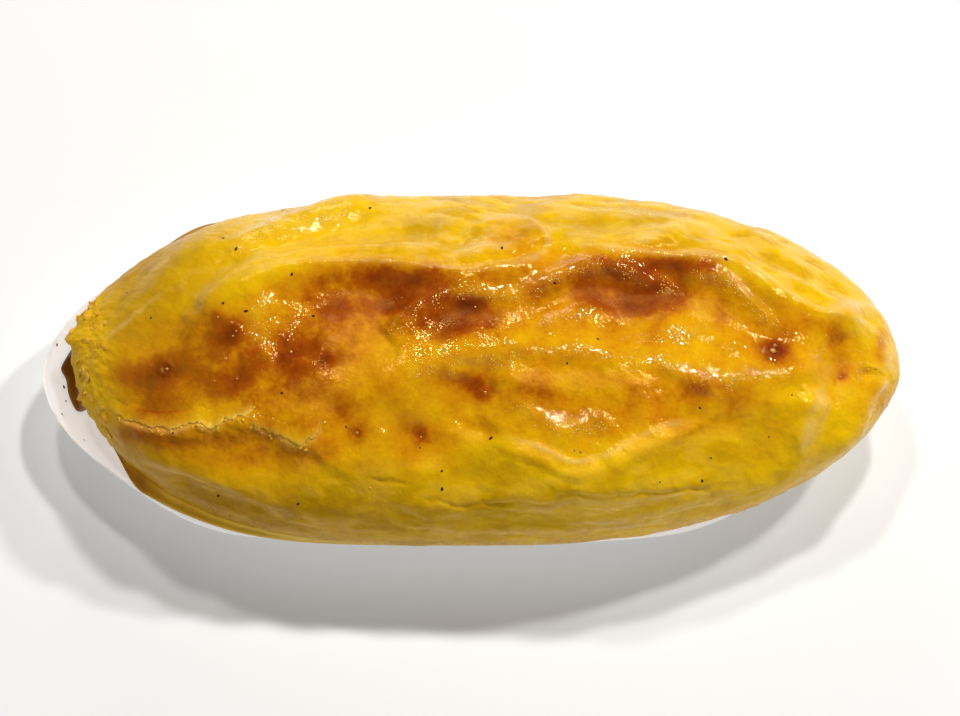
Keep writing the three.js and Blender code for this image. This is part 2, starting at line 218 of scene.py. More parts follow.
# %% Raise the folds
FOLDS = [
    # name, rise, fall behind, fall in front, raggedness (all mm), path in pixels from left to right
    ("left shoulder", 0.7, 0.6, 3.0, 0, [
        (218, 297), (250, 275), (290, 264), (350, 261), (410, 262), (448, 271), (480, 269), (515, 264),
        (540, 255), (548, 244)]),
    ("right shoulder", 0.7, 0.6, 2.5, 0, [
        (549, 242), (600, 248), (660, 254), (722, 257), (752, 272), (782, 292), (815, 311), (850, 318),
        (884, 340)]),
    ("hump edge", 0.75, 0.5, 2.0, 0, [(470, 228), (500, 223), (528, 223), (545, 235), (549, 245)]),
    ("far branch", 0.4, 0.8, 0.9, 0, [
        (612, 243), (650, 238), (675, 228), (692, 226), (708, 236), (724, 254)]),
    ("back left ridge", 0.6, 1.2, 1.5, 0, [(218, 254), (250, 238), (290, 221), (335, 208), (372, 201)]),
    ("back left valley", -0.45, 1.0, 1.0, 0, [(215, 268), (262, 257), (290, 243), (345, 226), (385, 217)]),
    ("back dent", -0.4, 1.6, 1.6, 0, [(395, 232), (415, 229), (440, 233)]),
    ("back right fold", 0.35, 0.8, 1.4, 0, [(570, 222), (610, 214), (660, 222), (720, 238), (770, 258)]),
    ("far edge fold", 0.35, 1.0, 1.2, 0, [(700, 214), (760, 236), (810, 262), (850, 290)]),
    ("right end rim", 0.35, 0.7, 0.9, 0, [(822, 313), (845, 307), (868, 309), (885, 322), (892, 340)]),
    ("front row foot", 0.5, 2.0, 2.0, 0, [(386, 340), (398, 330), (408, 322)]),
    ("front row left", 1.1, 1.3, 2.8, 0, [
        (388, 338), (415, 313), (440, 299), (472, 290), (505, 297), (540, 286)]),
    ("front row", 1.6, 1.2, 2.8, 0, [
        (515, 296), (545, 282), (565, 272), (595, 266), (630, 271), (655, 283), (678, 302)]),
    ("front row right", 1.1, 1.1, 2.4, 0, [
        (676, 288), (700, 274), (722, 277), (742, 296), (760, 312), (782, 334)]),
    ("right pan fill", 0.5, 1.8, 1.8, 0, [(640, 325), (680, 330), (720, 338), (755, 346)]),
    ("blister edge", 0.35, 0.8, 1.2, 0, [(538, 327), (560, 317), (590, 307), (612, 325)]),
    ("middle ridge", 0.35, 1.4, 1.2, 0.3, [
        (400, 372), (430, 366), (460, 357), (515, 352), (580, 354), (625, 365), (665, 367), (712, 385),
        (740, 374), (778, 372)]),
    ("terrace edge", 0.25, 1.0, 0.8, 0.2, [(440, 372), (475, 376), (505, 378), (520, 374)]),
    ("trough fill", 1.25, 2.6, 3.6, 0, [(490, 384), (550, 388), (610, 390), (665, 388)]),
    ("right slope fill", 0.8, 1.2, 4.0, 0, [(735, 400), (775, 402), (810, 404), (832, 412)]),
    ("lobe ledge", 0.3, 0.9, 1.0, 0, [
        (498, 404), (525, 409), (550, 424), (568, 430), (598, 420), (620, 434)]),
    ("lower lobe lip", 0.25, 3.0, 0.4, 0.1, [
        (505, 436), (528, 441), (545, 447), (572, 460), (600, 457), (640, 436), (665, 425), (690, 419)]),
    ("lobe foot", 1.45, 0.8, 5.0, 0, [
        (470, 436), (505, 445), (528, 450), (545, 456), (572, 469), (600, 466), (640, 445), (665, 434),
        (690, 428), (735, 407)]),
    ("lobe crease", -0.25, 0.3, 0.35, 0.1, [
        (500, 440), (528, 446), (545, 452), (572, 465), (600, 462), (640, 441), (665, 430), (695, 422)]),
    ("lobe left fill", 0.5, 1.5, 2.5, 0, [(440, 420), (470, 440), (500, 455)]),
    ("lobe skirt", 0.65, 2.0, 5.0, 0, [
        (478, 446), (515, 468), (540, 478), (570, 490), (600, 488), (640, 470), (672, 450)]),
    ("left rib", -0.4, 1.5, 1.5, 0, [(318, 446), (323, 415), (334, 378), (346, 345)]),
    ("left streak", 0.35, 1.2, 1.2, 0, [(246, 350), (256, 325), (262, 312), (272, 290)]),
    ("streak foot", 0.3, 1.5, 1.2, 0, [(236, 356), (255, 354), (272, 350)]),
    ("small rib", 0.3, 0.6, 0.6, 0.1, [(354, 465), (367, 458), (377, 440), (388, 430)]),
    ("torn skin", 0.15, 4.0, 0.3, 0.6, [
        (112, 412), (130, 424), (150, 430), (175, 431), (200, 424), (214, 428), (228, 420), (250, 416),
        (262, 410)]),
    ("tear foot", 0.75, 0.5, 3.0, 0.2, [
        (112, 414), (130, 426), (150, 432), (175, 433), (200, 427), (214, 430), (228, 423), (250, 419),
        (262, 414)]),
    ("second tear", 0.12, 3.0, 0.3, 0.5, [
        (250, 426), (262, 431), (280, 438), (302, 447), (318, 434), (322, 424)]),
    ("short crack", -0.25, 0.25, 0.25, 0.3, [(366, 478), (380, 481), (395, 482), (412, 485)]),
    ("left crack", -0.22, 0.25, 0.25, 0.4, [
        (418, 499), (430, 501), (445, 503), (462, 507), (500, 501), (520, 496)]),
    ("long crack", -0.22, 0.28, 0.28, 0.4, [
        (512, 496), (545, 499), (575, 490), (605, 493), (645, 490), (690, 489), (735, 485)]),
    ("crack lip", 0.2, 2.5, 0.5, 0.4, [
        (470, 500), (512, 493), (545, 495), (575, 486), (605, 489), (645, 486), (690, 485), (745, 479)]),
    ("flank layer", 0.2, 1.2, 0.3, 0.3, [(560, 521), (610, 517), (660, 512), (700, 504), (735, 493)]),
    ("low flank layer", 0.2, 1.0, 0.3, 0.3, [(380, 517), (440, 528), (520, 530), (600, 526), (680, 516)]),
    ("left flank fold", 0.7, 3.0, 0.5, 0.1, [(138, 456), (174, 468), (214, 483), (250, 496), (300, 512)]),
    ("left flank groove", -1.0, 1.0, 1.3, 0, [(165, 478), (200, 492), (235, 505), (280, 519)]),
    ("end ridge", 0.4, 1.6, 0.7, 0.1, [(795, 456), (801, 428), (808, 400), (814, 386)]),
    ("right end fill", 0.35, 1.8, 1.8, 0, [(835, 430), (843, 400), (841, 365), (838, 340)]),
    ("right end edge", 0.5, 1.5, 0.4, 0.1, [(832, 458), (855, 438), (868, 412), (877, 392), (887, 378)]),
]
TAPER_START, TAPER_END = -0.02, 0.2  # shares of a path's length, from either end
RAGGED_SIZE = 2.2 * MM
RAGGED_BREAKS = 1.5  # how strongly a ragged line also comes and goes
RAGGED_LIMITS = (0.3, 1.5)
NOISE_LAYERS = (1.0, 2.0, 3)  # how fast the layers of noise weaken, how much finer each is, how many


def taper(share):
    """Fades a line out towards both ends of its path."""
    return ease(np.minimum(share, 1 - share), TAPER_START, TAPER_END)


def crust_noise(size):
    """Smooth random values on the crust, in waves of a size in metres, around 0."""
    return np.array([noise.fractal(Vector(point / size), *NOISE_LAYERS) for point in crust_points])


wander = crust_noise(RAGGED_SIZE)
crust_rise = np.zeros(len(crust_points))
for name, rise, behind, front, ragged, path in FOLDS:
    offset, share = measure_from(path, column, row)
    offset += ragged * wander
    width = np.where(offset > 0, behind, front)
    broken = np.clip(1 + RAGGED_BREAKS * ragged * wander, *RAGGED_LIMITS)
    crust_rise += rise * broken * np.exp(-(offset / width) ** 2) * taper(share)
print(f"{len(FOLDS)} folds, from {crust_rise.min():.1f} to {crust_rise.max():.1f} mm")

# %% [markdown]
# ## Swellings and burst bubbles
# Some pans between the folds filled again as steam lifted the crust, and a few bubbles burst and left a low
# rim. A swelling could be a proportional edit. Here it is an oval in the picture, with a rise that falls
# away from its middle, and a burst bubble is a ring.

# %% Swellings and rings
MOUNDS = [
    # column, row, radius across, radius up and rise in mm, negative for a hollow
    (471, 310, 3.4, 2.4, 0.7), (655, 306, 5.0, 2.4, 0.5), (400, 300, 4.0, 2.4, 0.4),
    (478, 250, 2.4, 1.4, 0.35), (867, 373, 0.8, 0.6, -0.6), (876, 367, 0.9, 1.0, 0.3),
]
RINGS = [
    # column, row, radius and rise in mm of a burst bubble's rim
    (773, 351, 0.95, 0.30), (421, 437, 0.90, 0.15), (235, 333, 0.90, 0.12), (166, 369, 0.80, 0.12),
    (290, 353, 0.80, 0.12), (357, 434, 0.70, 0.12),
]
RING_WIDTH = 0.3


def oval_share(oval, columns, rows):
    """1 in the middle of an oval (column, row, radius across and up in mm), falling away to 0 outside it."""
    middle_column, middle_row, across, up = oval
    reach = ((columns - middle_column) / across) ** 2 + ((rows - middle_row) / up) ** 2
    return np.exp(-reach / PIXELS_PER_MM**2)


for *oval, rise in MOUNDS:
    crust_rise += rise * oval_share(oval, column, row)
for ring_column, ring_row, radius, rise in RINGS:
    reach = np.hypot(column - ring_column, row - ring_row) / PIXELS_PER_MM
    crust_rise += rise * np.exp(-((reach - radius) / RING_WIDTH) ** 2)
print(f"{len(MOUNDS)} swellings and hollows, {len(RINGS)} rings")

# %% [markdown]
# ## Browned blisters
# Where the skin blistered it stood nearer to the heat and toasted. The toasted share is kept as a point
# attribute, so that the colour stays glued to the surface from every side. A few patches also paint light
# and shade: they darken the left third and the place below the torn skin as painted shade, and lighten the
# right end as painted light. A texture could be projected from the camera, but it would smear on the flanks.
# Each patch has a centre, two radii and a strength. The hidden side gets blotches from noise instead.

# %% Toast the blisters
PATCHES = [
    # column, row, radius across, radius up (mm), strength, negative where it is paler (at the right end:
    # painted light)
    (180, 365, 11.0, 6.0, 0.36), (165, 369, 1.3, 1.3, 0.60), (165, 373, 3.0, 2.4, 0.55),
    (158, 390, 2.6, 2.4, 0.40), (112, 374, 3.5, 1.6, 0.46), (138, 377, 3.5, 2.2, 0.50),
    (155, 408, 2.8, 1.8, 0.50), (150, 433, 3.5, 1.0, 0.45), (233, 331, 1.3, 1.5, 0.55),
    (226, 335, 3.6, 3.2, 0.40), (217, 318, 1.0, 1.0, 0.30), (232, 378, 3.0, 1.8, 0.40),
    (300, 358, 6.0, 3.6, 0.20), (290, 354, 1.6, 1.7, 0.50), (306, 350, 3.0, 2.0, 0.28),
    (325, 362, 1.2, 1.3, 0.45), (292, 370, 3.0, 2.4, 0.20), (400, 294, 11.0, 5.0, 0.35),
    (368, 297, 4.0, 3.0, 0.35), (345, 302, 5.0, 4.0, 0.15), (412, 297, 4.0, 2.4, 0.38),
    (395, 273, 8.0, 1.8, 0.38), (440, 320, 4.0, 2.2, 0.55), (471, 308, 2.0, 2.0, 0.70),
    (455, 318, 3.5, 2.2, 0.40), (490, 325, 3.0, 2.2, 0.30), (640, 290, 11.0, 4.5, 0.30),
    (640, 297, 4.5, 3.0, 0.50), (663, 288, 2.2, 2.4, 0.55), (600, 290, 6.0, 3.0, 0.25),
    (650, 266, 7.0, 1.2, 0.38), (690, 263, 5.0, 1.2, 0.45), (357, 435, 1.2, 1.3, 0.50),
    (421, 437, 1.4, 1.4, 0.50), (421, 437, 3.0, 2.5, 0.15), (345, 408, 1.5, 2.4, 0.30),
    (475, 386, 3.0, 1.5, 0.35), (488, 393, 2.0, 1.2, 0.40), (455, 379, 3.0, 1.2, 0.30),
    (530, 388, 6.0, 2.5, 0.18), (575, 412, 5.0, 2.0, 0.14), (610, 400, 6.0, 3.0, 0.14),
    (700, 388, 4.0, 1.5, 0.32), (735, 394, 3.5, 2.0, 0.16), (774, 352, 1.3, 1.4, 0.80),
    (774, 352, 3.0, 2.5, 0.20), (720, 318, 2.2, 1.5, 0.22), (836, 338, 1.6, 3.0, 0.28),
    (843, 362, 1.2, 2.4, 0.20), (841, 378, 0.8, 0.7, 0.30), (882, 345, 1.0, 2.0, 0.45),
    (790, 320, 6.0, 5.0, 0.12), (570, 300, 12.0, 5.0, 0.12), (518, 243, 4.5, 2.4, 0.32),
    (330, 310, 8.0, 5.0, 0.12), (222, 405, 3.4, 1.6, -0.30), (690, 330, 5.0, 1.8, -0.15),
    (800, 400, 5.0, 4.0, -0.30), (858, 385, 3.5, 5.0, -0.12), (890, 366, 1.5, 3.0, -0.3),
    # From here, the patches over the left third and below the torn skin darken where less light falls:
    # painted shade.
    (655, 248, 3.5, 0.8, 0.25), (205, 448, 9.0, 2.2, 0.30), (265, 395, 8.0, 5.0, 0.30),
    (200, 345, 8.0, 4.0, 0.15), (322, 400, 4.0, 5.0, 0.18), (260, 462, 7.0, 1.8, 0.18),
    (150, 430, 5.0, 2.4, 0.22), (200, 392, 4.0, 2.0, 0.22), (180, 441, 6.0, 1.0, 0.35),
    (235, 434, 4.0, 1.0, 0.30), (128, 430, 2.5, 0.9, 0.25), (295, 454, 3.5, 1.0, 0.22),
    (698, 424, 4.0, 1.6, 0.22), (772, 432, 6.0, 4.0, 0.14),
]
SKIN_FAR_EDGE = [
    (90, 330), (220, 298), (300, 266), (460, 270), (549, 245), (715, 258), (815, 312), (890, 350)]
SKIN_NEAR_EDGE = [
    (90, 470), (250, 480), (420, 470), (500, 440), (572, 458), (735, 420), (890, 420)]
FAR_FADE, NEAR_FADE = (-4, 14), (-25, 25)  # pixels from the skin's edges over which its tint comes in
LEFT_FADE = (80, 330)  # columns
SKIN_TINT = 0.28
HIDDEN_TINT = 0.3
BLOTCH_SIZE = 9 * MM


def edge_row(edge, columns):
    """Row of a listed edge, at each column."""
    return np.interp(columns, *zip(*edge))


def toast_and_shading_share(columns, rows):
    """How brown the crust is where it is seen at a pixel, from 0 to 1, with a few patches of painted shade
    and light.
    """
    skin = ease(rows - edge_row(SKIN_FAR_EDGE, columns), *FAR_FADE)
    skin = skin * ease(edge_row(SKIN_NEAR_EDGE, columns) - rows, *NEAR_FADE) * ease(columns, *LEFT_FADE)
    untoasted = 1 - SKIN_TINT * skin
    for *oval, strength in PATCHES:
        untoasted *= 1 - strength * oval_share(oval, columns, rows)
    return 1 - np.minimum(untoasted, 1)


crust_toast_and_shading = seen * toast_and_shading_share(column, row)
crust_toast_and_shading += (1 - seen) * HIDDEN_TINT * np.clip(0.5 + crust_noise(BLOTCH_SIZE), 0, 1)
print(f"{len(PATCHES)} toasted patches cover {np.mean(crust_toast_and_shading > 0.5):.0%} of the crust")

# %% [markdown]
# ## The raw end and the flanks
# At the left end the skin broke away and shows the crumbly mash, and so does a small hole at the right end.
# How raw each point is will later decide where crumbs rise. The flanks dried in thin layers, so how steep a
# point is gets kept as well. Both could be painted by hand as vertex weights, but a rule keeps them tied to
# the shape.

# %% Raw share and flank share
RAW_END_COLUMN = 112
RAW_FADE = (-16, 24)  # pixels from that column
RAW_HOLE = (873, 371, 1.2, 1.2)  # column, row, radius across and up in mm
RAW_HOLE_STRENGTH = 0.6
FLANK_TILT = 0.72  # the upward share of the normal below which a point is on the flank
FLANK_FADE = 0.35
raw = ease(RAW_END_COLUMN - column, *RAW_FADE)
raw += RAW_HOLE_STRENGTH * oval_share(RAW_HOLE, column, row) * seen
raw = np.clip(raw, 0, 1)
flank = ease(FLANK_TILT - crust_normals[:, 2], 0, FLANK_FADE)
print(f"raw mash on {np.mean(raw > 0.5):.1%} of the points, flanks on {np.mean(flank > 0.5):.0%}")

# %% [markdown]
# ## Dull and glossy places
# The egg wash is thin at the left end and has soaked away in some hollows, which then don't shine, and it
# lies thick on the ridges, which sparkle. This follows no rule, so it is listed from the picture as the
# folds are.

# %% Dull and glossy shares
DULL_PATCHES = [
    # column, row, radius across, radius up (mm)
    (360, 340, 4.5, 6.0), (575, 382, 10.0, 1.8), (718, 308, 4.0, 2.2), (843, 382, 1.5, 4.0),
    (600, 296, 8.0, 1.8), (470, 310, 4.5, 2.0), (305, 400, 5.0, 3.0), (535, 452, 4.0, 1.3),
    (572, 468, 4.0, 1.3), (612, 462, 3.5, 1.3), (648, 444, 3.5, 1.3), (688, 428, 3.5, 1.3),
    (465, 440, 4.0, 1.5), (645, 306, 6.0, 2.0), (365, 306, 4.0, 2.0), (815, 372, 1.5, 3.0),
    (800, 428, 2.0, 3.0),
]
GLOSSY_LINES = [
    # half width in mm, path in pixels: where the wash is thickest and sparkles
    (1.2, [(393, 335), (415, 313), (440, 299), (472, 290), (505, 296), (535, 288), (562, 271), (595, 265),
           (630, 270), (655, 282), (674, 300)]),
    (1.1, [(690, 276), (720, 277), (745, 298), (780, 332)]),
    (1.3, [(405, 372), (440, 364), (480, 360), (520, 366)]),
    (0.6, [(505, 352), (565, 352), (625, 358)]),
    (1.2, [(620, 362), (665, 364), (712, 383), (745, 374), (790, 372)]),
    (1.6, [(225, 250), (265, 233), (310, 220), (370, 205)]),
    (1.3, [(268, 292), (258, 318), (262, 345)]),
    (1.2, [(540, 326), (570, 315), (600, 310)]),
    (1.0, [(655, 340), (680, 332), (705, 328)]),
    (1.2, [(512, 404), (540, 415), (570, 428), (610, 424)]),
    (1.2, [(462, 255), (475, 247), (490, 241)]),
    (0.8, [(828, 338), (820, 350), (812, 360)]),
    (0.8, [(852, 352), (860, 365), (870, 378)]),
]
DULLNESS, GLOSS = 0.8, 0.8
THIN_WASH_COLUMN, THIN_WASH_FADE = 230, 110  # the wash was brushed on thinly from here to the left end
THIN_WASH_DULLNESS = 0.6
SIDE_DULLNESS = 0.3
FAR_SIDE_FADE, NEAR_SIDE_FADE = (0, 14), (-20, 20)  # pixels beyond the skin's edges
TIP_COLUMN, TIP_FADE = 890, 120  # the far side narrows to nothing at the right tip

far_side = ease(edge_row(SKIN_FAR_EDGE, column) - row, *FAR_SIDE_FADE)
far_side *= ease(TIP_COLUMN - column, 0, TIP_FADE)
near_side = ease(row - edge_row(SKIN_NEAR_EDGE, column), *NEAR_SIDE_FADE)
dry = np.maximum(raw, THIN_WASH_DULLNESS * ease(THIN_WASH_COLUMN - column, 0, THIN_WASH_FADE))
dry = np.maximum(dry, SIDE_DULLNESS * np.maximum(far_side, near_side))
for oval in DULL_PATCHES:
    dry = np.maximum(dry, DULLNESS * oval_share(oval, column, row) * seen)
for width, path in GLOSSY_LINES:
    offset, share = measure_from(path, column, row)
    dry -= GLOSS * np.exp(-(offset / width) ** 2) * taper(share) * seen
dry = np.maximum(dry, -GLOSS)
print(f"{len(DULL_PATCHES)} dull patches and {len(GLOSSY_LINES)} glossy lines")

# %% [markdown]
# ## Damp places, painted shade and bare places
# The left end and the near flank get less light and are painted a darker mustard: painted shade. The sides,
# which the brush missed, are blotchy: beige where the mash crusted, mustard where it stayed moist, with a
# small step between. Damp places are listed, and the blotches come from noise that is stretched along the
# pastry.

# %% Damp and painted shade, crusted and moist shares
DAMP_PATCHES = [
    # column, row, radius across, radius up (mm)
    (415, 231, 3.5, 2.0), (445, 224, 2.5, 1.2), (580, 226, 4.0, 1.6), (640, 222, 5.0, 1.4),
    (690, 244, 3.0, 1.2), (330, 400, 4.0, 2.5), (395, 410, 4.0, 3.0), (760, 300, 3.0, 1.2),
    (700, 455, 6.0, 2.0),
]
PATCH_DAMPNESS = 0.5
# Painted shade: the left end and the near flank get less light, so they are painted a darker mustard.
LEFT_SHADE, LEFT_SHADE_COLUMN, LEFT_SHADE_FADE = 0.8, 280, 140
NEAR_SHADE = 0.5
NEAR_LEFT_SHADE, NEAR_LEFT_COLUMN, NEAR_LEFT_FADE = 0.35, 340, 120  # what the near flank gains at the left
SHADE_END_COLUMN, SHADE_END_FADE = 640, 330  # the painted shade of the left end and the near flank stops here
BARE_END_COLUMN, BARE_END_FADE = 800, 120  # towards the right end the near side is glazed
FAR_BARE_LEAST, FAR_BARE_FADE = 0.15, (330, 430)  # glazed up to the first column, bare from the second
NEAR_BARE, HIDDEN_BARE = 0.2, 0.4
BLOTCH_STRETCH = np.array((5.0, 2.2, 2.2)) * MM
BLOTCH_EDGE = (0.06, 0.2)  # values of the noise between which a blotch comes in
BLOTCH_STEP = 0.07  # mm
MOIST_DAMPNESS = 0.4
LAYER_DAMPNESS, LAYER_EDGE = 0.25, (-0.1, 0.25)  # what the near flank's layers add
DAMPEST = 0.9

# Painted shade on the near flank and the left end, fading out towards the middle.
near_shade = NEAR_SHADE + NEAR_LEFT_SHADE * ease(NEAR_LEFT_COLUMN - column, 0, NEAR_LEFT_FADE)
left_shade = LEFT_SHADE * ease(LEFT_SHADE_COLUMN - column, 0, LEFT_SHADE_FADE)
damp_and_shade = np.maximum(near_side * near_shade, left_shade) * ease(SHADE_END_COLUMN - column, 0, SHADE_END_FADE)
for oval in DAMP_PATCHES:
    damp_and_shade = np.maximum(damp_and_shade, PATCH_DAMPNESS * oval_share(oval, column, row) * seen)

bare_near = near_side * ease(BARE_END_COLUMN - column, 0, BARE_END_FADE)
bare_far = far_side * (FAR_BARE_LEAST + (1 - FAR_BARE_LEAST) * ease(column, *FAR_BARE_FADE))
unglazed = np.maximum(bare_far, NEAR_BARE * bare_near)
unglazed = np.maximum(unglazed, HIDDEN_BARE * (1 - seen))
layers = crust_noise(BLOTCH_STRETCH)
crusted = unglazed * ease(layers, *BLOTCH_EDGE)
moist = unglazed * ease(-layers, *BLOTCH_EDGE)
crust_rise += BLOTCH_STEP * (crusted - moist)
damp_and_shade = np.maximum(damp_and_shade, MOIST_DAMPNESS * moist) + LAYER_DAMPNESS * bare_near * ease(-layers, *LAYER_EDGE)
damp_and_shade = np.minimum(damp_and_shade, DAMPEST) * (1 - crust_toast_and_shading)
print(f"damp on {np.mean(damp_and_shade > 0.5):.0%} of the crust, crusted on {np.mean(crusted > 0.5):.0%}")

# %% [markdown]
# ## Pale crust and painted highlights
# The crests of the folds and the torn edges catch the light as thin pale lines, painted on as colour: painted
# highlights. An edge mask from the curvature would also catch edges that stayed golden, so the lines are
# listed. They wander and fade a little, as nothing baked is even. The share also holds the beige of crusted
# blotches.

# %% Pale share and painted highlights
PAINTED_HIGHLIGHT_LINES = [
    # strength, width in mm, path in pixels
    (0.28, 0.22, [
        (215, 285), (250, 273), (300, 262), (400, 262), (455, 268), (480, 269), (530, 262), (547, 245),
        (540, 228), (525, 222)]),
    (0.36, 0.28, [
        (550, 240), (600, 248), (720, 257), (752, 272), (790, 295), (830, 312), (870, 325), (893, 345)]),
    (0.50, 0.50, [(612, 243), (650, 238), (675, 228), (692, 226), (708, 236), (724, 254)]),
    (0.60, 0.85, [(822, 312), (845, 307), (870, 310), (886, 324), (893, 342)]),
    (0.32, 0.75, [(802, 460), (806, 440), (812, 415), (818, 398), (822, 388)]),
    (0.50, 0.40, [(835, 457), (856, 440), (869, 413), (878, 393), (888, 378)]),
    (0.50, 0.85, [(884, 335), (891, 352), (893, 374)]),
    (0.25, 0.22, [
        (112, 411), (130, 423), (150, 429), (175, 430), (200, 424), (214, 428), (228, 420), (258, 408)]),
    (0.20, 0.20, [(250, 426), (262, 431), (280, 438), (302, 447), (318, 434), (322, 424)]),
    (0.25, 0.30, [(105, 340), (130, 318), (165, 290)]),
    (0.35, 0.20, [
        (500, 435), (528, 442), (545, 448), (572, 460), (600, 457), (640, 436), (665, 425), (690, 418)]),
    (0.45, 0.28, [(515, 264), (535, 258), (547, 247), (545, 234), (535, 225), (515, 222), (495, 224)]),
    (0.30, 0.30, [(135, 290), (152, 272), (170, 255)]),
    (0.40, 0.30, [(512, 501), (545, 504), (575, 496), (645, 496), (735, 490)]),
    (0.35, 0.40, [(560, 521), (610, 517), (660, 511), (720, 500)]),
    (0.30, 0.40, [(470, 531), (540, 530), (620, 524), (700, 515)]),
    (0.35, 0.40, [(142, 458), (174, 468), (214, 483), (250, 496)]),
]
CRUSTED_PALENESS = 0.22
HIGHLIGHT_WANDER = 0.15  # mm
HIGHLIGHT_LIMITS = (0.4, 1.3)  # how far a line's strength comes and goes

pale_and_highlight = CRUSTED_PALENESS * crusted
for strength, width, path in PAINTED_HIGHLIGHT_LINES:
    offset, share = measure_from(path, column, row)
    line = np.exp(-((offset + HIGHLIGHT_WANDER * wander) / width) ** 2) * taper(share) * seen
    pale_and_highlight = np.maximum(pale_and_highlight, strength * np.clip(1 + wander, *HIGHLIGHT_LIMITS) * line)
print(f"{len(PAINTED_HIGHLIGHT_LINES)} pale lines")

# %% [markdown]
# ## Moving the points
# The relief so far is only a list of heights. Here each point moves along its normal by its height, and a
# few flakes at the left end are pulled out over the paper. The shares go onto the mesh as named attributes,
# which the material and the next node tree can read. A displacement map could do it too, but would need an
# unwrapped mesh.

# %% Move the points and store what the material needs
PULLS = [
    # column, row, radius in pixels, pull in mm
    (76, 338, 9, (-1.3, -0.2, 0.2)), (84, 318, 9, (-0.6, 0.3, 0.1)), (84, 405, 7, (-0.6, 0.0, 0.1)),
]


def store(mesh, shares):
    """Keeps a value for every point of a mesh under each name."""
    for name, values in shares.items():
        mesh.attributes.new(name, "FLOAT", "POINT").data.foreach_set("value", values)


crust_points += crust_normals * (crust_rise * seen * MM)[:, None]
for pull_column, pull_row, radius, pull in PULLS:
    oval = (pull_column, pull_row, radius / PIXELS_PER_MM, radius / PIXELS_PER_MM)
    crust_points += (oval_share(oval, column, row) * seen)[:, None] * np.array(pull) * MM
crust_mesh.vertices.foreach_set("co", crust_points.ravel())
store(crust_mesh, {"toast_and_shading": crust_toast_and_shading, "raw": raw, "dry": dry, "flank": flank, "damp_and_shade": damp_and_shade, "pale_and_highlight": pale_and_highlight})
crust_mesh.polygons.foreach_set("use_smooth", [True] * len(crust_mesh.polygons))
crust_mesh.update()
print("moved", len(crust_points), "points by up to", round(np.max(np.abs(crust_rise * seen)), 1), "mm")

# %% [markdown]
# ## Colours and nodes
# Colours are picked as sRGB hex values, as they look on a screen, but Blender's sockets hold linear light,
# so one function converts them. One more adds a node with its settings and links, which keeps every tree
# short to read. Materials take their patterns from Object coordinates, so that a size in metres is true on
# every piece.

# %% Helpers for materials


def linear(colour):
    """An sRGB hex colour as linear light, with full alpha."""
    parts = [int(colour[i:i + 2], 16) / 255 for i in (1, 3, 5)]
    return tuple(p / 12.92 if p <= 0.04045 else ((p + 0.055) / 1.055) ** 2.4 for p in parts) + (1.0,)


def add_node(tree, kind, sockets=None, stops=(), **settings):
    """One node. sockets maps an input's name or number to a value, or to a node or output that is linked
    to it. stops are pairs of position and colour for a colour ramp."""
    made = tree.nodes.new(kind)
    for name, value in settings.items():
        setattr(made, name, value)
    for name, value in (sockets or {}).items():
        if isinstance(value, bpy.types.Node):
            value = value.outputs[0]
        if isinstance(value, bpy.types.NodeSocket):
            tree.links.new(value, made.inputs[name])
        else:
            made.inputs[name].default_value = value
    while stops and len(made.color_ramp.elements) < len(stops):
        made.color_ramp.elements.new(0.5)
    for i, (position, colour) in enumerate(stops):
        made.color_ramp.elements[i].position = position
        made.color_ramp.elements[i].color = linear(colour)
    return made


def new_material(name):
    """An empty material and its tree."""
    material = bpy.data.materials.new(name)
    material.use_nodes = True
    tree = material.node_tree
    tree.nodes.clear()
    return material, tree


def finish_material(tree, sockets):
    """Ends a material's tree in one shader, with its constants on its own sockets."""
    shader = add_node(tree, "ShaderNodeBsdfPrincipled", sockets)
    add_node(tree, "ShaderNodeOutputMaterial", {"Surface": shader})


print(f"half of full sRGB is {linear('#808080')[0]:.2f} of the light")

# %% [markdown]
# ## Baked mash: how it browns
# Sweet potato mash is a moist, slightly see-through yellow. Egg yolk dries on it as a skin that goes from
# gold through amber to dark brown as it toasts. A ramp over the toasted share gives that colour. Noise
# breaks the patches up and mottles the rest, because a smooth gradient would look sprayed on.

# %% Browning of the baked mash
MOTTLE_SIZE = 3.5 * MM
FLECK_SIZE = 0.6 * MM
SHADE_SIZE = 2.4 * MM
UNEVEN_LEAST, UNEVEN_RANGE = 0.55, 0.9  # a share is multiplied by the first, plus up to the second
MOTTLE_STRENGTH, FLECK_STRENGTH = 0.36, 0.22

baked_mash, tree = new_material("baked_mash_with_egg_wash")
place = add_node(tree, "ShaderNodeTexCoord").outputs["Object"]
toast_and_shading, raw_share, dry_share, damp_and_shade_share, pale_and_highlight_share = (
    add_node(tree, "ShaderNodeAttribute", attribute_name=name).outputs["Fac"]
    for name in ("toast_and_shading", "raw", "dry", "damp_and_shade", "pale_and_highlight"))
mottle, fleck, shade = (
    add_node(tree, "ShaderNodeTexNoise", {"Vector": place, "Scale": 1 / size, "Detail": detail})
    for size, detail in ((MOTTLE_SIZE, 4.0), (FLECK_SIZE, 2.0), (SHADE_SIZE, 3.0)))
uneven = add_node(tree, "ShaderNodeMath", {0: mottle, 1: UNEVEN_RANGE, 2: UNEVEN_LEAST},
                  operation="MULTIPLY_ADD")
broken = add_node(tree, "ShaderNodeMath", {0: toast_and_shading, 1: uneven}, operation="MULTIPLY")
mottled = add_node(tree, "ShaderNodeMath", {0: mottle, 1: MOTTLE_STRENGTH, 2: broken},
                   operation="MULTIPLY_ADD")
flecked = add_node(tree, "ShaderNodeMath", {0: fleck, 1: FLECK_STRENGTH, 2: mottled},
                   operation="MULTIPLY_ADD")
noise_mean = (MOTTLE_STRENGTH + FLECK_STRENGTH) / 2  # noise runs from 0 to 1, so half of both is taken off
centred = add_node(tree, "ShaderNodeMath", {0: flecked, 1: noise_mean}, operation="SUBTRACT")
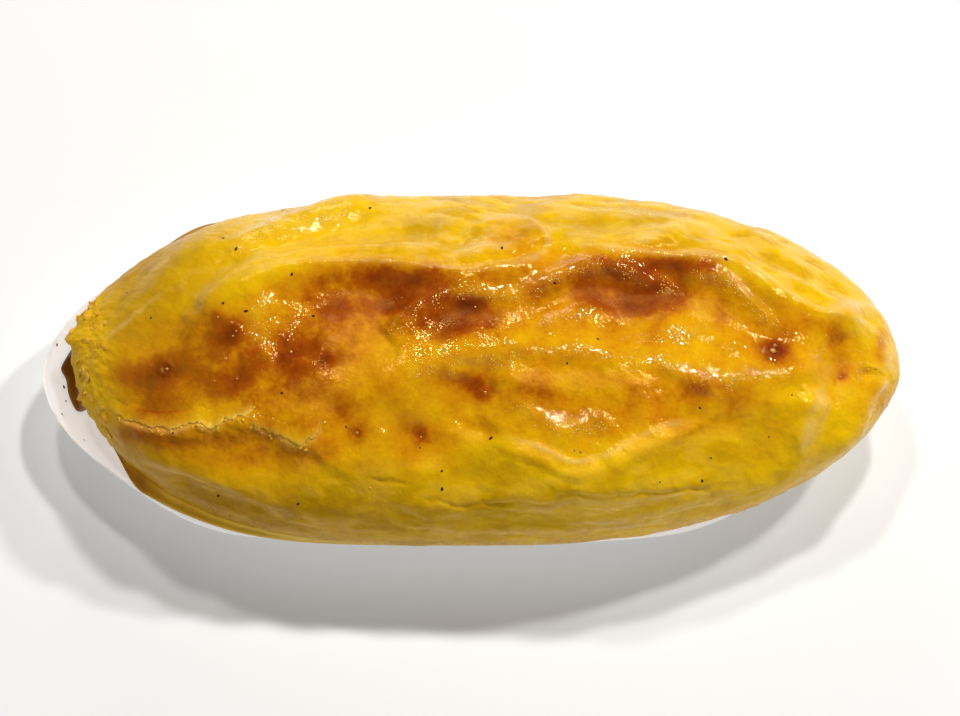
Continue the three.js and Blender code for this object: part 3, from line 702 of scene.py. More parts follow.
browning = add_node(tree, "ShaderNodeValToRGB", {"Fac": centred}, [
    (0.0, "#F2C004"), (0.2, "#E8AA04"), (0.4, "#D48803"), (0.6, "#AA5002"), (0.78, "#8E3601"),
    (0.95, "#762601")])
print("browning:", len(tree.nodes), "nodes")

# %% [markdown]
# ## Baked mash: damp and painted shade, raw, pale and painted highlights
# Damp mash and painted shade are mustard, raw mash a clear yellow, and crusted mash and painted highlights
# beige. Each is mixed over the browning by its attribute. The first two are made uneven with the same
# mottling, so that no outline of a listed oval shows.

# %% Colours over the browning
untoasted = add_node(tree, "ShaderNodeMath", {0: 1.0, 1: toast_and_shading}, operation="SUBTRACT")
dimmed = add_node(tree, "ShaderNodeMapRange", {
    "Value": shade, "From Min": 0.48, "From Max": 0.72, "To Max": 0.25})
clouded = add_node(tree, "ShaderNodeMath", {0: dimmed, 1: untoasted}, operation="MULTIPLY")
soaked_and_shaded = add_node(tree, "ShaderNodeMath", {0: damp_and_shade_share, 1: uneven, 2: clouded}, operation="MULTIPLY_ADD",
                  use_clamp=True)
torn = add_node(tree, "ShaderNodeMath", {0: raw_share, 1: uneven}, operation="MULTIPLY", use_clamp=True)
colour = browning.outputs[0]
# Mustard paints damp mash and the shade of the left end and near flank; beige paints crusted mash and the
# highlights along crests and edges.
for share, tone in ((soaked_and_shaded, "#B88606"), (torn, "#E8B40C"), (pale_and_highlight_share, "#F0CA84")):
    mixed = add_node(tree, "ShaderNodeMix", {0: share, 6: colour, 7: linear(tone)}, data_type="RGBA")
    colour = mixed.outputs[2]
print("colour:", len(tree.nodes), "nodes")

# %% [markdown]
# ## Baked mash: gloss and sparkle
# Dried yolk is a hard, warm gloss, and its skin is grainy, so the eye sees many small sparks instead of one
# highlight. A coat layer is the thick wash on the ridges, and a bump breaks its reflection. A little light
# also travels under the surface, which keeps the mash from looking like plastic.

# %% Gloss and sparkle of the baked mash
SPARK_SIZE = 0.42 * MM  # the real grains are finer, but would blur to a veil in the picture
SPARK_HEIGHT = 0.14 * MM
PATCHINESS = 0.5

spark = add_node(tree, "ShaderNodeTexNoise", {"Vector": place, "Scale": 1 / SPARK_SIZE, "Detail": 1.0})
patchy = add_node(tree, "ShaderNodeMath", {0: shade, 1: PATCHINESS, 2: dry_share}, operation="MULTIPLY_ADD")
dullness = add_node(tree, "ShaderNodeMapRange", {
    "Value": patchy, "From Min": 0.15, "From Max": 1.0, "To Min": 0.06, "To Max": 0.55})
glaze = add_node(tree, "ShaderNodeMapRange", {
    "Value": dry_share, "From Min": -GLOSS, "From Max": 0.2, "To Min": 0.45, "To Max": 0.0})
graininess = add_node(tree, "ShaderNodeMapRange", {
    "Value": dry_share, "From Min": -0.7, "From Max": 0.0, "To Min": 0.55, "To Max": 0.4})
grain = add_node(tree, "ShaderNodeBump", {"Height": spark, "Strength": graininess, "Distance": SPARK_HEIGHT})
finish_material(tree, {
    "Base Color": colour, "Roughness": dullness, "IOR": 1.45, "Normal": grain,
    "Specular IOR Level": 0.45, "Specular Tint": linear("#FFCF70"),
    "Subsurface Weight": 0.15, "Subsurface Radius": (1.0, 0.5, 0.1), "Subsurface Scale": 1.5 * MM,
    "Coat Weight": glaze, "Coat Roughness": 0.05, "Coat IOR": 1.5, "Coat Normal": grain})
print("baked mash:", len(tree.nodes), "nodes")

# %% [markdown]
# ## Helpers for Geometry Nodes
# A geometry tree is a small program that runs on a mesh. Its lengths are named inputs, so they can be tried
# out in the modifier panel. Here each input is set by its socket's identifier before the tree first runs,
# and the result is taken as a plain mesh, so that no modifier is left on the piece.

# %% Helpers for trees


def new_tree(name, inputs):
    """A geometry tree with a geometry input and output and named numbers, and its group input node."""
    tree = bpy.data.node_groups.new(name, "GeometryNodeTree")
    tree.interface.new_socket("Geometry", in_out="OUTPUT", socket_type="NodeSocketGeometry")
    tree.interface.new_socket("Geometry", in_out="INPUT", socket_type="NodeSocketGeometry")
    for label, value in inputs.items():
        socket = tree.interface.new_socket(label, in_out="INPUT", socket_type="NodeSocketFloat")
        socket.default_value = value
    return tree, add_node(tree, "NodeGroupInput")


def finish_tree(tree, geometry, material):
    """Ends a tree: copies become real geometry and get their material."""
    realized = add_node(tree, "GeometryNodeRealizeInstances", {"Geometry": geometry})
    coloured = add_node(tree, "GeometryNodeSetMaterial", {"Geometry": realized, "Material": material})
    add_node(tree, "NodeGroupOutput", {"Geometry": coloured})


def evaluated_piece(name, mesh, tree, inputs):
    """Runs a tree on a mesh and returns the result as a plain object."""
    maker = add_object(name + "_maker", mesh)
    modifier = maker.modifiers.new(name, "NODES")
    modifier.node_group = tree
    for socket in tree.interface.items_tree:
        if socket.in_out == "INPUT" and socket.name in inputs:
            modifier[socket.identifier] = inputs[socket.name]
    depsgraph = bpy.context.evaluated_depsgraph_get()
    result = bpy.data.meshes.new_from_object(maker.evaluated_get(depsgraph), depsgraph=depsgraph)
    bpy.data.objects.remove(maker)
    result.name = name
    return add_object(name, result)


print("trees are built and run in Blender", bpy.app.version_string)

# %% [markdown]
# ## Grain of the crust
# Up close the whole crust is uneven: soft wrinkles a few millimetres apart, smaller puckers where the skin
# shrank, thin layers along the flanks and crumbs at the raw end. Sculpting them would take hours, but they
# follow the surface by a rule, so a node tree pushes each point along its normal by four noises, two of
# them only where an attribute says.

# %% Crust grain tree
GRAIN_INPUTS = {
    "Wrinkle size": 5.0 * MM, "Wrinkle depth": 0.75 * MM, "Pucker size": 1.6 * MM, "Pucker depth": 0.3 * MM,
    "Layer size": 1.0 * MM, "Layer depth": 0.26 * MM, "Crumb size": 1.3 * MM, "Crumb depth": 1.3 * MM,
}
GRAIN_KINDS = [
    # label, scale along X, Y and Z, attribute that says where
    ("Wrinkle", (1, 1, 1), None), ("Pucker", (1, 1, 1), None), ("Layer", (0.25, 1, 1), "flank"),
    ("Crumb", (1, 1, 1), "raw"),
]
tree, lengths = new_tree("crust_grain", GRAIN_INPUTS)
place = add_node(tree, "GeometryNodeInputPosition")
height = 0.0
for label, stretch, where in GRAIN_KINDS:
    scale = add_node(tree, "ShaderNodeMath", {0: 1.0, 1: lengths.outputs[label + " size"]},
                     operation="DIVIDE")
    drawn = add_node(tree, "ShaderNodeVectorMath", {0: place, 1: stretch}, operation="MULTIPLY")
    bumps = add_node(tree, "ShaderNodeTexNoise", {
        "Vector": drawn, "Scale": scale, "Detail": 4.0, "Roughness": 0.55})
    level = add_node(tree, "ShaderNodeMath", {0: bumps, 1: 0.5}, operation="SUBTRACT")
    depth = lengths.outputs[label + " depth"]
    if where:
        share = add_node(tree, "GeometryNodeInputNamedAttribute", {"Name": where}, data_type="FLOAT")
        depth = add_node(tree, "ShaderNodeMath", {0: depth, 1: share}, operation="MULTIPLY")
    height = add_node(tree, "ShaderNodeMath", {0: level, 1: depth, 2: height}, operation="MULTIPLY_ADD")
outward = add_node(tree, "GeometryNodeInputNormal")
push = add_node(tree, "ShaderNodeVectorMath", {0: outward, "Scale": height}, operation="SCALE")
moved = add_node(tree, "GeometryNodeSetPosition", {"Geometry": lengths.outputs["Geometry"], "Offset": push})
finish_tree(tree, moved, baked_mash)
pastry = evaluated_piece("pastry_crust", crust_mesh, tree, GRAIN_INPUTS)
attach(pastry, "root")
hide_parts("pastry")
print("pastry:", len(pastry.data.polygons), "triangles")

# %% [markdown]
# ## Laying things on the crust
# Several pieces lie on a surface where the picture shows them. A Shrinkwrap modifier could press them on,
# but it would need each piece to be modelled in place first. So rays are cast from the eye through the
# pixels, and strips and blobs of points are built where they hit.

# %% Helpers for pieces on a surface


def cast(surface, column, row):
    """Place and normal of a surface at a pixel."""
    place, normal = surface.ray_cast(Vector(eye), line_of_sight(column, row))[:2]
    return place, normal


def castable(piece):
    """A piece's surface, ready for rays."""
    return BVHTree.FromObject(piece, bpy.context.evaluated_depsgraph_get())


def new_mesh(name, points, faces, material):
    """A mesh with smooth shading and one material."""
    mesh = bpy.data.meshes.new(name)
    mesh.from_pydata(points, [], faces)
    mesh.polygons.foreach_set("use_smooth", [True] * len(faces))
    mesh.materials.append(material)
    return mesh


def strip_faces(stations, rows):
    """Faces of a strip whose points are listed row by row at each station."""
    corners = [i * rows + j for i in range(stations - 1) for j in range(rows - 1)]
    return [(corner, corner + rows, corner + rows + 1, corner + 1) for corner in corners]


pastry_surface = castable(pastry)
middle = cast(pastry_surface, PICTURE_WIDTH / 2, PICTURE_HEIGHT / 2)[0]
print(f"the crust is {middle.z / MM:.1f} mm high in the middle of the picture")

# %% [markdown]
# ## Torn skin
# At the left the baked skin slid down and tore. Its edge is a thin, jagged flake that stands proud of the
# mash below. The crust's mesh is too coarse for such an edge, so a narrow sheet is laid over it: rows of
# points that start at the jagged edge and sink into the crust behind it. A Solidify modifier then gives it
# the skin's thickness.

# %% Sheets of torn skin
TEARS = [
    ("torn_skin", [
        (108, 407), (118, 416), (128, 423), (138, 424), (150, 428), (165, 429), (178, 428), (190, 428),
        (200, 423), (212, 428), (222, 423), (234, 419), (246, 413), (256, 404)]),
    ("torn_skin_right", [
        (250, 425), (260, 430), (272, 435), (286, 440), (300, 446), (310, 440), (318, 433), (322, 422)]),
]
TEAR_SAMPLE = 0.13  # mm along the edge
# How far each row lies behind the edge and above the crust, in mm.
TEAR_ROWS = [(0.0, 0.08), (0.15, 0.15), (0.4, 0.18), (0.8, 0.16), (1.4, 0.09), (2.2, 0.02), (3.0, -0.08)]
JAGS = [(2.4, 0.75), (0.9, 0.45), (0.3, 0.18)]  # length and height in mm of the teeth
JAG_REACH, EDGE_REACH = 0.8, 0.3  # mm behind the edge over which the teeth and the bare edge fade
END_SHARE = 1 / 12  # of the sheet's length, over which it sinks in at each end
END_DEPTH = 0.05  # mm
# Painted highlight: the lit edge of the skin is painted pale.
EDGE_HIGHLIGHT = 0.3
SKIN_THICKNESS = 0.18 * MM
UPHILL = np.array((-0.2, -1.0))  # the way in the picture in which the skin lies


def path_length(points):
    """Millimetres along a line of pixels."""
    return np.sum(np.hypot(*np.diff(np.array(points), axis=0).T)) / PIXELS_PER_MM


def torn_sheet(name, path):
    """A sheet of skin whose lower edge follows a jagged path in the picture."""
    edge = smooth_path(path, int(path_length(path) / TEAR_SAMPLE))
    points, toast_and_shading, bare = [], [], []
    for i, pixel in enumerate(edge):
        along = i * TEAR_SAMPLE
        jag = sum(height * noise.noise(Vector((along / size, size, 0))) for size, height in JAGS)
        fade = min(1, min(i, len(edge) - 1 - i) / len(edge) / END_SHARE)
        for inward, lift in TEAR_ROWS:
            spot = pixel + UPHILL * (inward + jag * math.exp(-inward / JAG_REACH)) * PIXELS_PER_MM
            place, normal = cast(pastry_surface, *spot)
            points.append(place + normal * (lift * fade - END_DEPTH * (1 - fade)) * MM)
            toast_and_shading.append(float(toast_and_shading_share(*spot)))
            bare.append(math.exp(-inward / EDGE_REACH))
    mesh = new_mesh(name, points, strip_faces(len(edge), len(TEAR_ROWS)), baked_mash)
    store(mesh, {"toast_and_shading": toast_and_shading, "raw": bare, "dry": bare, "pale_and_highlight": EDGE_HIGHLIGHT * np.array(bare)})
    piece = add_object(name, mesh)
    piece.modifiers.new("skin", "SOLIDIFY").thickness = SKIN_THICKNESS
    return piece


for name, path in TEARS:
    sheet = torn_sheet(name, path)
    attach(sheet, "root")
    print(name, len(sheet.data.polygons), "faces")

# %% [markdown]
# ## Coated white paper
# The case is pressed from white coated paper. It is smooth and nearly white, and light comes through the
# thin sheet, so its shaded side stays pale; a weak painted glow keeps it white in the pastry's shade too.
# Egg wash stained it brown just under the rim. A height above the floor finds that line, and noise breaks it
# up.

# %% Paper material
STAIN_SIZE = 6 * MM
FIBRE_SIZE = 0.6 * MM  # real fibres are finer, but would not show
STAIN_BAND = (0.9 * MM, 0.1 * MM)  # from and to how far below the rim the stain comes in

coated_paper, tree = new_material("coated_white_paper")
place = add_node(tree, "ShaderNodeTexCoord").outputs["Object"]
height = add_node(tree, "ShaderNodeSeparateXYZ", {0: place}).outputs["Z"]
near_rim = add_node(tree, "ShaderNodeMapRange", {
    "Value": height, "From Min": RIM_HEIGHT - STAIN_BAND[0], "From Max": RIM_HEIGHT - STAIN_BAND[1]})
stain = add_node(tree, "ShaderNodeTexNoise", {"Vector": place, "Scale": 1 / STAIN_SIZE, "Detail": 3.0})
stained = add_node(tree, "ShaderNodeMapRange", {
    "Value": stain, "From Min": 0.4, "From Max": 0.62, "To Min": 0.25})
wash = add_node(tree, "ShaderNodeMath", {0: near_rim, 1: stained}, operation="MULTIPLY")
paper = add_node(tree, "ShaderNodeMix", {0: wash, 6: linear("#FCFBF8"), 7: linear("#A87848")},
                 data_type="RGBA")
fibre = add_node(tree, "ShaderNodeTexNoise", {"Vector": place, "Scale": 1 / FIBRE_SIZE, "Detail": 3.0})
tooth = add_node(tree, "ShaderNodeBump", {"Height": fibre, "Strength": 0.15, "Distance": 0.05 * MM})
finish_material(tree, {
    "Base Color": paper.outputs[2], "Roughness": 0.3, "IOR": 1.5, "Normal": tooth,
    "Subsurface Weight": 1.0, "Subsurface Radius": (1.0, 1.0, 1.0), "Subsurface Scale": 2.0 * MM,
    # Painted glow: the paper gives out a little light of its own, so it stays white where the pastry shades
    # it.
    "Emission Color": linear("#F6F9FF"), "Emission Strength": 0.28})
print("paper:", len(tree.nodes), "nodes")

# %% [markdown]
# ## The boat case
# The CAD sheet has the right shape but a faceted outline. It could be modelled again as a swept curve, but
# then it might not fit the pastry. So its triangles are paired into quads and subdivided, which also rounds
# the cut edge.

# %% Smooth case
PAIR_BEND, PAIR_SKEW = 0.7, 3.1  # radians by which a pair of triangles may be bent and skewed

case_mesh, shape = merged_copy("boat_case")
case_mesh.name = "paper_case"
bmesh.ops.join_triangles(shape, faces=shape.faces, angle_face_threshold=PAIR_BEND,
                         angle_shape_threshold=PAIR_SKEW)
for face in shape.faces:
    face.smooth = True
shape.to_mesh(case_mesh)
shape.free()
case_mesh.materials.append(coated_paper)
paper_case = add_object("paper_case", case_mesh)
rounded = paper_case.modifiers.new("rounded", "SUBSURF")
rounded.levels = rounded.render_levels = 2
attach(paper_case, "root")
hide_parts("boat_case")
print("case:", len(case_mesh.polygons), "faces before subdivision")

# %% [markdown]
# ## Dried egg wash on the rim
# Egg wash ran down the flank, pooled on the rim, dripped over it and baked to a film that glues pastry and
# paper. It could be painted on both, but it also fills the gap between them, so it is a thin sheet of its
# own. Level rays find the rim and the flank at each station, and a few points between them make the film's
# hollow section.

# %% Section of the film
OUTSIDE = 60 * MM  # from where the level rays start
RIM_ROUND = 0.2 * MM  # how far the rounded rim's outermost line lies below its top
PROUD, SUNK = 0.06, 0.3  # mm by which the film stands off the flank, and lies inside it at its ends
SLOW_WAVE, QUICK_WAVE = 5 * MM, 1.6 * MM
CLIMB, SLOW_CLIMB, QUICK_CLIMB = 1.0, 0.6, 0.3  # mm up the flank, and what the waves add
DRIP, DRIP_GROWTH, QUICK_SHARE = 0.5, 2.2, 0.6  # mm down the paper, what the waves add, the quick one's share
DRIP_ROWS = [(1.0, 0.02), (0.85, 0.12), (0.5, 0.18), (0.1, 0.2)]  # share of the drip, mm off the paper
# Share of the way from the rim to the flank, lift in mm, and share of the climb.
BRIDGE_ROWS = [(0.0, 0.15, 0.0), (0.35, 0.18, 0.0), (0.75, 0.0, 0.4), (1.0, 0.0, 1.0)]

case_surface = castable(paper_case)


def level_reach(surface, x, side, z):
    """How far out a surface lies at a height, on the near (-1) or far (1) side."""
    return surface.ray_cast(Vector((x, side * OUTSIDE, z)), Vector((0, -side, 0)))[0].y


def film_section(x, side, ends, spill):
    """Points of the film from its drips, over the rim and up the flank, sunk from sight at its ends."""
    slow = noise.noise(Vector((x / SLOW_WAVE, side, 0)))
    quick = noise.noise(Vector((x / QUICK_WAVE, side, 3)))
    climb = (CLIMB + SLOW_CLIMB * slow + QUICK_CLIMB * quick) * MM
    drip = (DRIP + DRIP_GROWTH * max(0, slow + QUICK_SHARE * quick)) * MM
    top = RIM_HEIGHT + climb
    flank = level_reach(pastry_surface, x, side, top)
    points = []
    for share, off in DRIP_ROWS:
        z = RIM_HEIGHT - RIM_ROUND - drip * share * ends
        wall = level_reach(case_surface, x, side, z) + side * (off + spill * (1 - share**2)) * MM
        y = flank + (wall - flank) * ends - side * SUNK * (1 - ends) * MM
        points.append((x, y, top + (z - top) * ends))
    rim = level_reach(case_surface, x, side, RIM_HEIGHT - RIM_ROUND) + side * spill * MM
    rim = flank + (rim - flank) * ends
    for share, lift, climbed in BRIDGE_ROWS:
        y = rim + (flank - rim) * share + side * ((PROUD + SUNK) * ends - SUNK) * MM
        z = RIM_HEIGHT + lift * MM + climbed * climb
        points.append((x, y, top + (z - top) * ends))
    return points


print("points in a section:", len(film_section(0.0, -1, 1.0, 0.0)))

# %% [markdown]
# ## Dried egg wash
# Baked yolk is a brittle varnish that shines: brown at the left end and where it burnt on the paper, gold
# and paler towards the right. The place along the case and a burn attribute give the colour, and noise
# pools it.

# %% Film material
POOL_SIZE = 5 * MM
POOL_STRENGTH = 0.5

dried_wash, tree = new_material("dried_egg_wash")
place = add_node(tree, "ShaderNodeTexCoord").outputs["Object"]
along = add_node(tree, "ShaderNodeSeparateXYZ", {0: place}).outputs["X"]
paling = add_node(tree, "ShaderNodeMapRange", {"Value": along, "From Min": -49 * MM, "From Max": -14 * MM})
pool = add_node(tree, "ShaderNodeTexNoise", {"Vector": place, "Scale": 1 / POOL_SIZE, "Detail": 4.0})
pooled = add_node(tree, "ShaderNodeMath", {0: pool, 1: POOL_STRENGTH, 2: paling}, operation="MULTIPLY_ADD")
varnish = add_node(tree, "ShaderNodeValToRGB", {"Fac": pooled}, [
    (0.25, "#9A5806"), (0.42, "#E0A010"), (0.7, "#EEBA1C"), (1.0, "#EEC648")])
burn_share = add_node(tree, "ShaderNodeAttribute", attribute_name="burn").outputs["Fac"]
edged = add_node(tree, "ShaderNodeMix", {0: burn_share, 6: varnish, 7: linear("#7A4A34")}, data_type="RGBA")
finish_material(tree, {
    "Base Color": edged.outputs[2], "Roughness": 0.28, "IOR": 1.5, "Specular IOR Level": 0.25})
print("egg wash:", len(tree.nodes), "nodes")

# %% [markdown]
# ## Films along both sides
# The near film runs along most of the rim and the far one only along its left part, where it spilled over.
# Each is a strip of sections, made solid and then smoothed by one subdivision.

# %% Films
FILMS = [
    # name, first and last station, side, station and size (mm) of a spill over the rim, how burnt
    ("near_egg_wash", -46.6 * MM, 26 * MM, -1, 0.0, 0.0, 0.08),
    ("far_egg_wash", -46 * MM, -26 * MM, 1, -36 * MM, 1.3, 1.0),
]
STATION_STEP = 0.6 * MM
SPILL_LENGTH = 5 * MM
START_SHARE, STOP_SHARE = 0.06, 0.25  # of a film's length, over which it comes up and sinks again
FILM_THICKNESS = 0.22 * MM
ROW_BURN = (1.0, 1.0, 0.9, 0.8, 0.7, 0.25, 0.0, 0.0)  # how burnt each row is, from the drips to the flank


def film_piece(name, first, last, side, spill_at, spill, burn):
    """A film along one side between two stations."""
    count = int((last - first) / STATION_STEP)
    points = []
    for i in range(count + 1):
        x = first + (last - first) * i / count
        ends = float(ease(min(i / count / START_SHARE, (count - i) / count / STOP_SHARE), 0, 1))
        points += film_section(x, side, ends, spill * math.exp(-((x - spill_at) / SPILL_LENGTH) ** 2))
    faces = strip_faces(count + 1, len(ROW_BURN))
    if side > 0:
        faces = [face[::-1] for face in faces]  # so that they face outwards on the far side too
    mesh = new_mesh(name, points, faces, dried_wash)
    store(mesh, {"burn": np.tile(np.array(ROW_BURN) * burn, count + 1)})
    piece = add_object(name, mesh)
    piece.modifiers.new("thickness", "SOLIDIFY").thickness = FILM_THICKNESS
    soft = piece.modifiers.new("soft", "SUBSURF")
    soft.levels = soft.render_levels = 1
    return piece


for film_values in FILMS:
    film = film_piece(*film_values)
    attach(film, "root")
    print(film.name, len(film.data.polygons), "faces")

# %% [markdown]
# ## Burnt syrup
# Sugar that boiled dry is hard and glassy. It shines like enamel, amber at its near end and nearly black
# at the other, where it burnt longest. The place across the case gives that change, and noise breaks it.

# %% Syrup material
SCORCH_BLOTCH = 2.5 * MM
SCORCH_STRENGTH = 0.4

burnt_syrup, tree = new_material("burnt_syrup")
place = add_node(tree, "ShaderNodeTexCoord").outputs["Object"]
across = add_node(tree, "ShaderNodeSeparateXYZ", {0: place}).outputs["Y"]
scorch = add_node(tree, "ShaderNodeMapRange", {"Value": across, "From Min": -1 * MM, "From Max": 9 * MM})
blotch = add_node(tree, "ShaderNodeTexNoise", {"Vector": place, "Scale": 1 / SCORCH_BLOTCH, "Detail": 3.0})
patchy = add_node(tree, "ShaderNodeMath", {0: blotch, 1: SCORCH_STRENGTH, 2: scorch},
                  operation="MULTIPLY_ADD")
char = add_node(tree, "ShaderNodeValToRGB", {"Fac": patchy}, [
    (0.25, "#8A5A0C"), (0.6, "#6E4208"), (0.8, "#4A3A30"), (1.0, "#2E2622")])
finish_material(tree, {"Base Color": char, "Roughness": 0.18, "IOR": 1.5})
print("syrup:", len(tree.nodes), "nodes")

# %% [markdown]
# ## The smear in the case
# The syrup ran into the case's left end and dried there as a flat blob. It could be a sculpted disc, but
# the paper slopes under it. So its outline is read from the picture and cast onto the paper ring by ring,
# and it lies on the wall wherever that slopes.

# %% Smear of syrup on the paper
SYRUP_OUTLINE = [
    (73, 347), (66, 358), (61, 369), (66, 380), (69, 396), (77, 411), (86, 408), (92, 395), (92, 370),
    (86, 350)]
SYRUP_CENTRE = (80, 380)
SYRUP_RINGS = 7
SYRUP_HEIGHT = 0.3 * MM
SYRUP_DEPTH = 0.25 * MM


def poured_shape(surface, outline, centre, rings, thickness):
    """Points and faces of a rounded blob inside a closed outline of pixels, lying on a surface."""
    closed = smooth_path(outline + outline[:1])[:-1]
    count = len(closed)
    points = []
    for ring in range(rings, 0, -1):
        share = ring / rings
        lift = thickness * math.sqrt(1 - share**4)  # flat in the middle and round at the edge
        for pixel in closed:
            place, normal = cast(surface, *(np.array(centre) + share * (pixel - np.array(centre))))
            points.append(place + normal * lift)
    place, normal = cast(surface, *centre)
    points.append(place + normal * thickness)
    faces = []
    for ring in range(rings - 1):
        for i in range(count):
            a, b = ring * count + i, ring * count + (i + 1) % count
            faces.append((b, a, a + count, b + count))
    last = (rings - 1) * count
    faces += [(last + (i + 1) % count, last + i, len(points) - 1) for i in range(count)]
    return points, faces


points, faces = poured_shape(case_surface, SYRUP_OUTLINE, SYRUP_CENTRE, SYRUP_RINGS, SYRUP_HEIGHT)
syrup = add_object("burnt_syrup", new_mesh("burnt_syrup", points, faces, burnt_syrup))
syrup.modifiers.new("closed", "SOLIDIFY").thickness = SYRUP_DEPTH
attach(syrup, "root")
print("syrup:", len(syrup.data.polygons), "faces")

# %% [markdown]
# ## A tree for small things
# Specks, bubbles, painted sparks and crumbs are each many copies of one small shape that follows a surface,
# which is what Geometry Nodes are for. One tree serves them all: a ball is made lumpy, squashed and
# stretched, and set on seed points with a random size and turn. Copies made by hand would all need their own
# place in the file.

# %% Scatter tree
LUMP_SCALE = 1.3  # waves of noise along a ball's radius, which is 1


def seeds(name, spots):
    """A mesh of bare points from pairs of place and normal, with the normal as an attribute."""
    spots = [spot for spot in spots if spot[0] is not None]
    mesh = bpy.data.meshes.new(name)
    mesh.from_pydata([place for place, normal in spots], [], [])
    upright = mesh.attributes.new("upright", "FLOAT_VECTOR", "POINT")
    upright.data.foreach_set("vector", np.array([normal for place, normal in spots], float).ravel())
    return mesh


def scatter_tree(name, inputs, material, facets, seed):
    """Copies of a lumpy, squashed ball on seed points, turned to the surface, with random sizes."""
    tree, values = new_tree(name, inputs)
    ball = add_node(tree, "GeometryNodeMeshIcoSphere", {"Radius": 1.0, "Subdivisions": facets})
    place = add_node(tree, "GeometryNodeInputPosition")
    bumps = add_node(tree, "ShaderNodeTexNoise", {"Vector": place, "Scale": LUMP_SCALE, "Detail": 2.0})
    level = add_node(tree, "ShaderNodeMath", {0: bumps, 1: 0.5}, operation="SUBTRACT")
    depth = add_node(tree, "ShaderNodeMath", {0: level, 1: values.outputs["Lumps"]}, operation="MULTIPLY")
    outward = add_node(tree, "GeometryNodeInputNormal")
    push = add_node(tree, "ShaderNodeVectorMath", {0: outward, "Scale": depth}, operation="SCALE")
    lumpy = add_node(tree, "GeometryNodeSetPosition", {"Geometry": ball, "Offset": push})
    rounded = add_node(tree, "GeometryNodeSetShadeSmooth", {"Geometry": lumpy})
    squash = add_node(tree, "ShaderNodeCombineXYZ", {
        "X": values.outputs["Stretch"], "Y": 1.0, "Z": values.outputs["Height"]})
    grain = add_node(tree, "GeometryNodeTransform", {"Geometry": rounded, "Scale": squash})
    size = add_node(tree, "FunctionNodeRandomValue", {
        2: values.outputs["Smallest"], 3: values.outputs["Largest"], "Seed": seed}, data_type="FLOAT")
    spin = add_node(tree, "FunctionNodeRandomValue", {2: 0.0, 3: 2 * math.pi, "Seed": seed + 1},
                    data_type="FLOAT")
    about = add_node(tree, "ShaderNodeCombineXYZ", {"Z": spin.outputs[1]})
    upright = add_node(tree, "GeometryNodeInputNamedAttribute", {"Name": "upright"}, data_type="FLOAT_VECTOR")
    facing_out = add_node(tree, "FunctionNodeAlignRotationToVector", {"Vector": upright}, axis="Z")
    turned = add_node(tree, "FunctionNodeRotateRotation", {"Rotation": facing_out, "Rotate By": about},
                      rotation_space="LOCAL")
    copies = add_node(tree, "GeometryNodeInstanceOnPoints", {
        "Points": values.outputs["Geometry"], "Instance": grain, "Rotation": turned,
        "Scale": size.outputs[1]})
    finish_tree(tree, copies, material)
    return tree


print(f"{2 * LUMP_SCALE:.1f} lumps across a ball")

# %% [markdown]
# ## Materials of the small things
# Charred crumbs are matt and dark brown, nearly black. A bubble of dried egg is an amber shell with a sharp
# glint, and its pale amber also paints that glint. Dry mash is matt straw yellow, and the painted sparks are
# pale cream balls that stand in for the glaze's fine warm glints. Each is two tones that a noise runs
# between, so one function makes all four.

# %% Specks, bubbles, crumbs and painted spark materials


def two_tone_material(name, size, stops, finish):
    """A material whose colour runs between two stops in a noise of a size in metres."""
    material, tree = new_material(name)
    place = add_node(tree, "ShaderNodeTexCoord").outputs["Object"]
    swirl = add_node(tree, "ShaderNodeTexNoise", {"Vector": place, "Scale": 1 / size})
    tones = add_node(tree, "ShaderNodeValToRGB", {"Fac": swirl}, stops)
    finish_material(tree, {"Base Color": tones, **finish})
    return material


charred = two_tone_material("charred_speck", 0.4 * MM, [(0.3, "#2A1206"), (0.7, "#5A2A0C")], {
    "Roughness": 0.5, "Specular IOR Level": 0.1})
# The bubble's pale amber also paints its glint.
bubble_skin_and_glint = two_tone_material("egg_bubble_with_painted_glint", 0.5 * MM, [(0.35, "#B87820"), (0.65, "#E2B058")], {
    "Roughness": 0.12, "IOR": 1.5})
dry_crumb = two_tone_material("dry_mash_crumb", 0.5 * MM, [(0.3, "#DCA00C"), (0.7, "#EEBC24")], {
    "Roughness": 0.6})
painted_spark_material = two_tone_material("painted_glaze_sparks", 0.5 * MM, [(0.38, "#F2B01C"), (0.68, "#FFDE86")], {
    "Roughness": 0.3, "Specular IOR Level": 0.4, "Specular Tint": linear("#FFD27A")})
print("small materials:", [material.name for material in (charred, bubble_skin_and_glint, dry_crumb, painted_spark_material)])

# %% [markdown]
# ## Where the small things lie
# Charred specks dot the crust and the paper and small bubbles of egg froze where they rose, so those are
# listed from the picture. Crumbs trail along the torn skin and flakes stand at the raw end, and tiny pale
# balls along the glossy ridges paint the glaze's sparks. They are too many to list, so a seeded generator
# draws them round lines that are already known.

